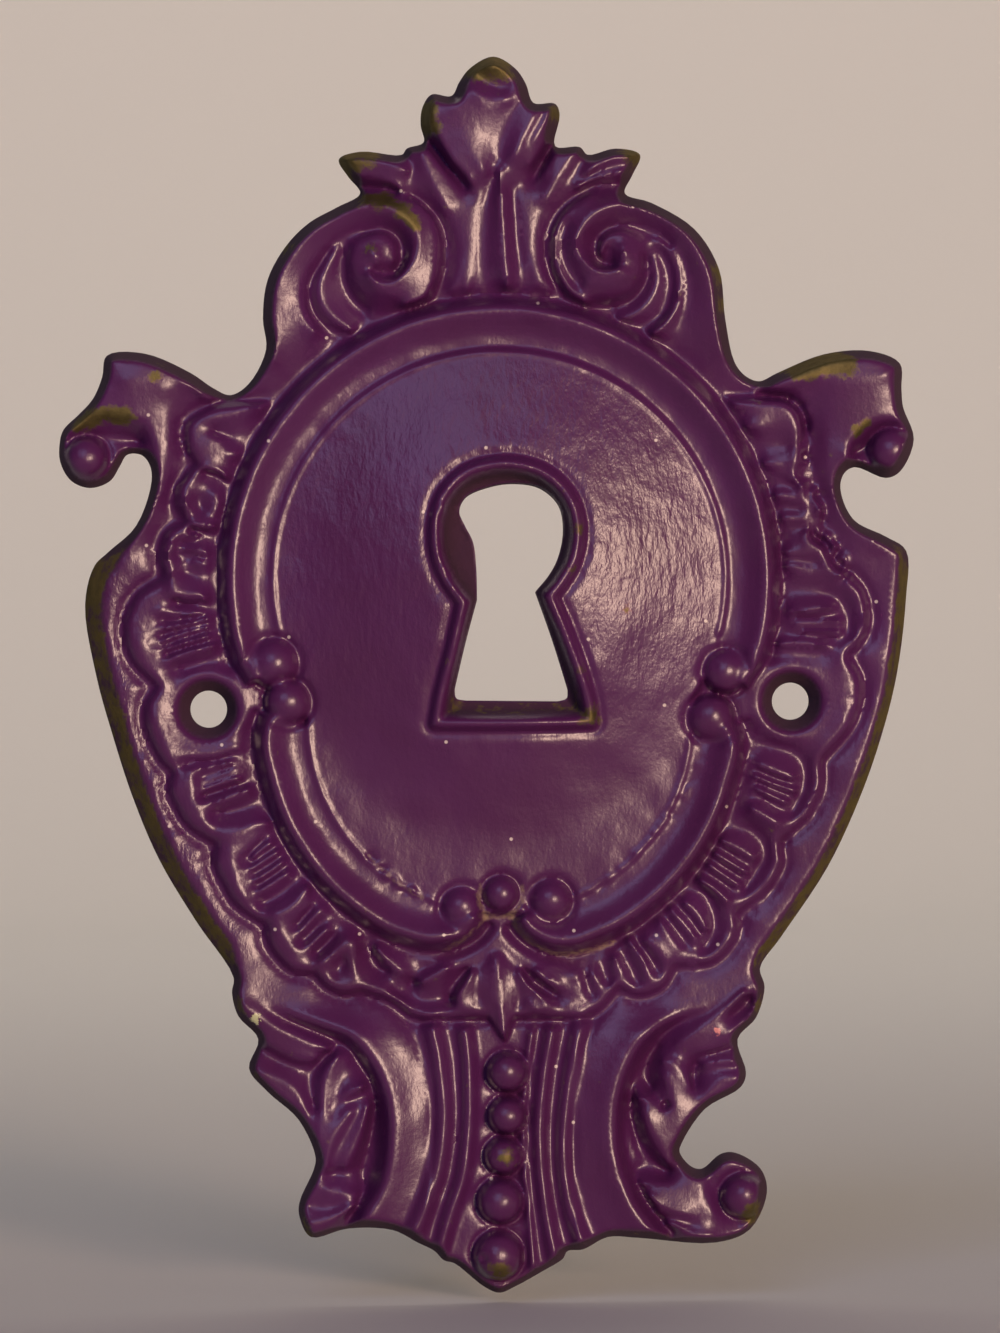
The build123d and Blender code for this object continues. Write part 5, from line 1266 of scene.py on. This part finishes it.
def build_mesh(name, r, cell, share, lean, dish):
    """Front from the relief, a short upright edge, and a back with a shallow round dish."""
    x, z, depth, quads, tris, border = front_cells(r, cell, share)
    used = np.unique(np.concatenate([quads.ravel(), tris.ravel()]))
    new = np.full(x.size, -1)
    new[used] = np.arange(len(used))
    px, pz = x.ravel()[used].copy(), z.ravel()[used].copy()
    a, b = new[border[:, 0]], new[border[:, 1]]
    ends = settle_border(r, px, pz, a, b)
    front = np.stack([px, -np.maximum(r.sample(r.h, px, pz), LEAST_EDGE), pz], 1)
    count = len(front)
    back_of = np.full(count, -1)
    back_of[ends] = np.arange(len(ends))
    upright = np.stack([b, a, count + back_of[a], count + back_of[b]], 1)
    sparse = (slice(None, None, BACK_STEP), slice(None, None, BACK_STEP))
    clear = depth[sparse] > BACK_INSET
    inner = np.stack([x[sparse][clear], z[sparse][clear]], 1)
    lines = np.stack([back_of[a], back_of[b]], 1)
    back, under = back_faces(np.stack([px[ends], pz[ends]], 1), inner, lines, dish)
    verts = np.concatenate([front, back])
    turn = np.array([[math.cos(lean), math.sin(lean)], [-math.sin(lean), math.cos(lean)]])
    verts[:, [0, 2]] = verts[:, [0, 2]] @ turn.T
    mesh = bpy.data.meshes.new(name)
    faces = new[quads].tolist() + upright.tolist() + new[tris].tolist() + (under + count).tolist()
    mesh.from_pydata(verts * MM, [], faces)
    mesh.update()
    mesh.shade_smooth()
    mesh.set_sharp_from_angle(angle=SHARP_EDGE)
    # The back counts as wall: dull, and dark with the ground colour that is partly painted shade.
    for field, behind in (("rub", 0.0), ("wall", 1.0), ("dust", 0.0), ("brush", 0.4)):
        values = np.full(len(verts), behind, np.float32)
        values[:count] = r.sample(getattr(r, field), px, pz)
        mesh.attributes.new(field, "FLOAT", "POINT").data.foreach_set("value", values)
    return mesh


def paper_sweep():
    """Pale floor that turns up behind the plate: flat, a quarter circle, then upright."""
    turn = np.linspace(0, np.pi / 2, 24)
    bend = FLOOR_TURN + TURN_RADIUS * np.sin(turn)
    depth = np.concatenate([[FLOOR_FRONT], bend, bend[-1:]])
    rise = FLOOR_LEVEL + np.concatenate([[0], TURN_RADIUS * (1 - np.cos(turn)), [SWEEP_TOP]])
    count = len(depth)
    sides = np.repeat([-FLOOR_HALF, FLOOR_HALF], count)
    verts = np.stack([sides, np.tile(depth, 2), np.tile(rise, 2)], 1)
    first = np.arange(count - 1)
    mesh = bpy.data.meshes.new("floor")
    mesh.from_pydata(verts, [], np.stack([first, first + count, first + count + 1, first + 1], 1).tolist())
    mesh.shade_smooth()
    # Matt paper, even and without shine.
    mat = bpy.data.materials.new("matt_paper_sweep")
    mat.use_nodes = True
    bsdf = mat.node_tree.nodes["Principled BSDF"]
    bsdf.inputs["Base Color"].default_value = to_linear(PAPER)
    bsdf.inputs["Roughness"].default_value = 0.9
    mesh.materials.append(mat)
    return bpy.data.objects.new("floor", mesh)


class OBJECT_OT_painted_plate(bpy.types.Operator):
    """Carve the relief of the plate and dress it in its paint."""

    bl_idname = "escutcheon.painted_plate"
    bl_label = "Painted plate"

    def execute(self, context):
        s = context.scene.escutcheon_relief
        r = carve(s.pitch / MM, s.soft / MM)
        mesh = build_mesh("painted_plate", r, s.cell / MM, s.share / 100, s.lean, s.dish / MM)
        plate = bpy.data.objects.new("painted_plate", mesh)
        context.scene.collection.objects.link(plate)
        mesh.materials.append(painted_brass(context.scene.escutcheon_paint, s.lean))
        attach(plate, "root")
        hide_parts("escutcheon_plate")
        return {"FINISHED"}


class OBJECT_OT_stage(bpy.types.Operator):
    """Lay the pale floor, set the soft lamps and place the camera."""

    bl_idname = "escutcheon.stage"
    bl_label = "Stage"

    def execute(self, context):
        scene = context.scene
        floor = paper_sweep()
        scene.collection.objects.link(floor)
        for name, place, aim, size, power, colour in LAMPS:
            lamp = bpy.data.lights.new(name, "AREA")
            lamp.shape = "RECTANGLE"
            lamp.size, lamp.size_y = size
            lamp.energy = power
            lamp.color = to_linear(colour)[:3]
            obj = bpy.data.objects.new(name, lamp)
            obj.location = place
            way = mathutils.Vector(aim) - obj.location
            obj.rotation_euler = way.to_track_quat("-Z", "Y").to_euler()
            scene.collection.objects.link(obj)
        world = bpy.data.worlds.new("studio")
        world.use_nodes = True
        sky = world.node_tree.nodes["Background"]
        sky.inputs["Color"].default_value = to_linear(SKY[0])
        sky.inputs["Strength"].default_value = SKY[1]
        scene.world = world
        data = bpy.data.cameras.new("camera")
        data.sensor_fit = "VERTICAL"
        data.sensor_height = SENSOR
        data.lens = SENSOR * CAMERA_REACH / VIEW_HEIGHT
        camera = bpy.data.objects.new("camera", data)
        camera.location = (VIEW_MIDDLE[0], -CAMERA_REACH, VIEW_MIDDLE[1])
        camera.rotation_euler = (math.radians(90), scene.escutcheon_relief.lean, 0)
        scene.collection.objects.link(camera)
        scene.camera = camera
        scene.view_settings.view_transform = "Standard"
        return {"FINISHED"}


class VIEW3D_PT_escutcheon(bpy.types.Panel):
    """Sidebar panel with the sizes and the steps."""

    bl_label = "Escutcheon"
    bl_idname = "VIEW3D_PT_escutcheon"
    bl_space_type = "VIEW_3D"
    bl_region_type = "UI"
    bl_category = "Escutcheon"

    def draw(self, context):
        s = context.scene.escutcheon_relief
        for name in ("pitch", "cell", "share", "soft", "lean", "dish"):
            self.layout.prop(s, name)
        paint = context.scene.escutcheon_paint
        for name in ("thin", "thick", "ground", "dust", "speck", "brass_dark", "brass_light"):
            self.layout.prop(paint, name)
        self.layout.operator("escutcheon.painted_plate")
        self.layout.operator("escutcheon.stage")


CLASSES = (
    ReliefSettings, PaintSettings, OBJECT_OT_painted_plate, OBJECT_OT_stage, VIEW3D_PT_escutcheon)


def register():
    for cls in CLASSES:
        bpy.utils.register_class(cls)
    bpy.types.Scene.escutcheon_relief = bpy.props.PointerProperty(type=ReliefSettings)
    bpy.types.Scene.escutcheon_paint = bpy.props.PointerProperty(type=PaintSettings)


def unregister():
    del bpy.types.Scene.escutcheon_paint
    del bpy.types.Scene.escutcheon_relief
    for cls in reversed(CLASSES):
        bpy.utils.unregister_class(cls)


def main():
    register()
    bpy.ops.escutcheon.painted_plate()
    bpy.ops.escutcheon.stage()


if __name__ == "__main__":
    main()
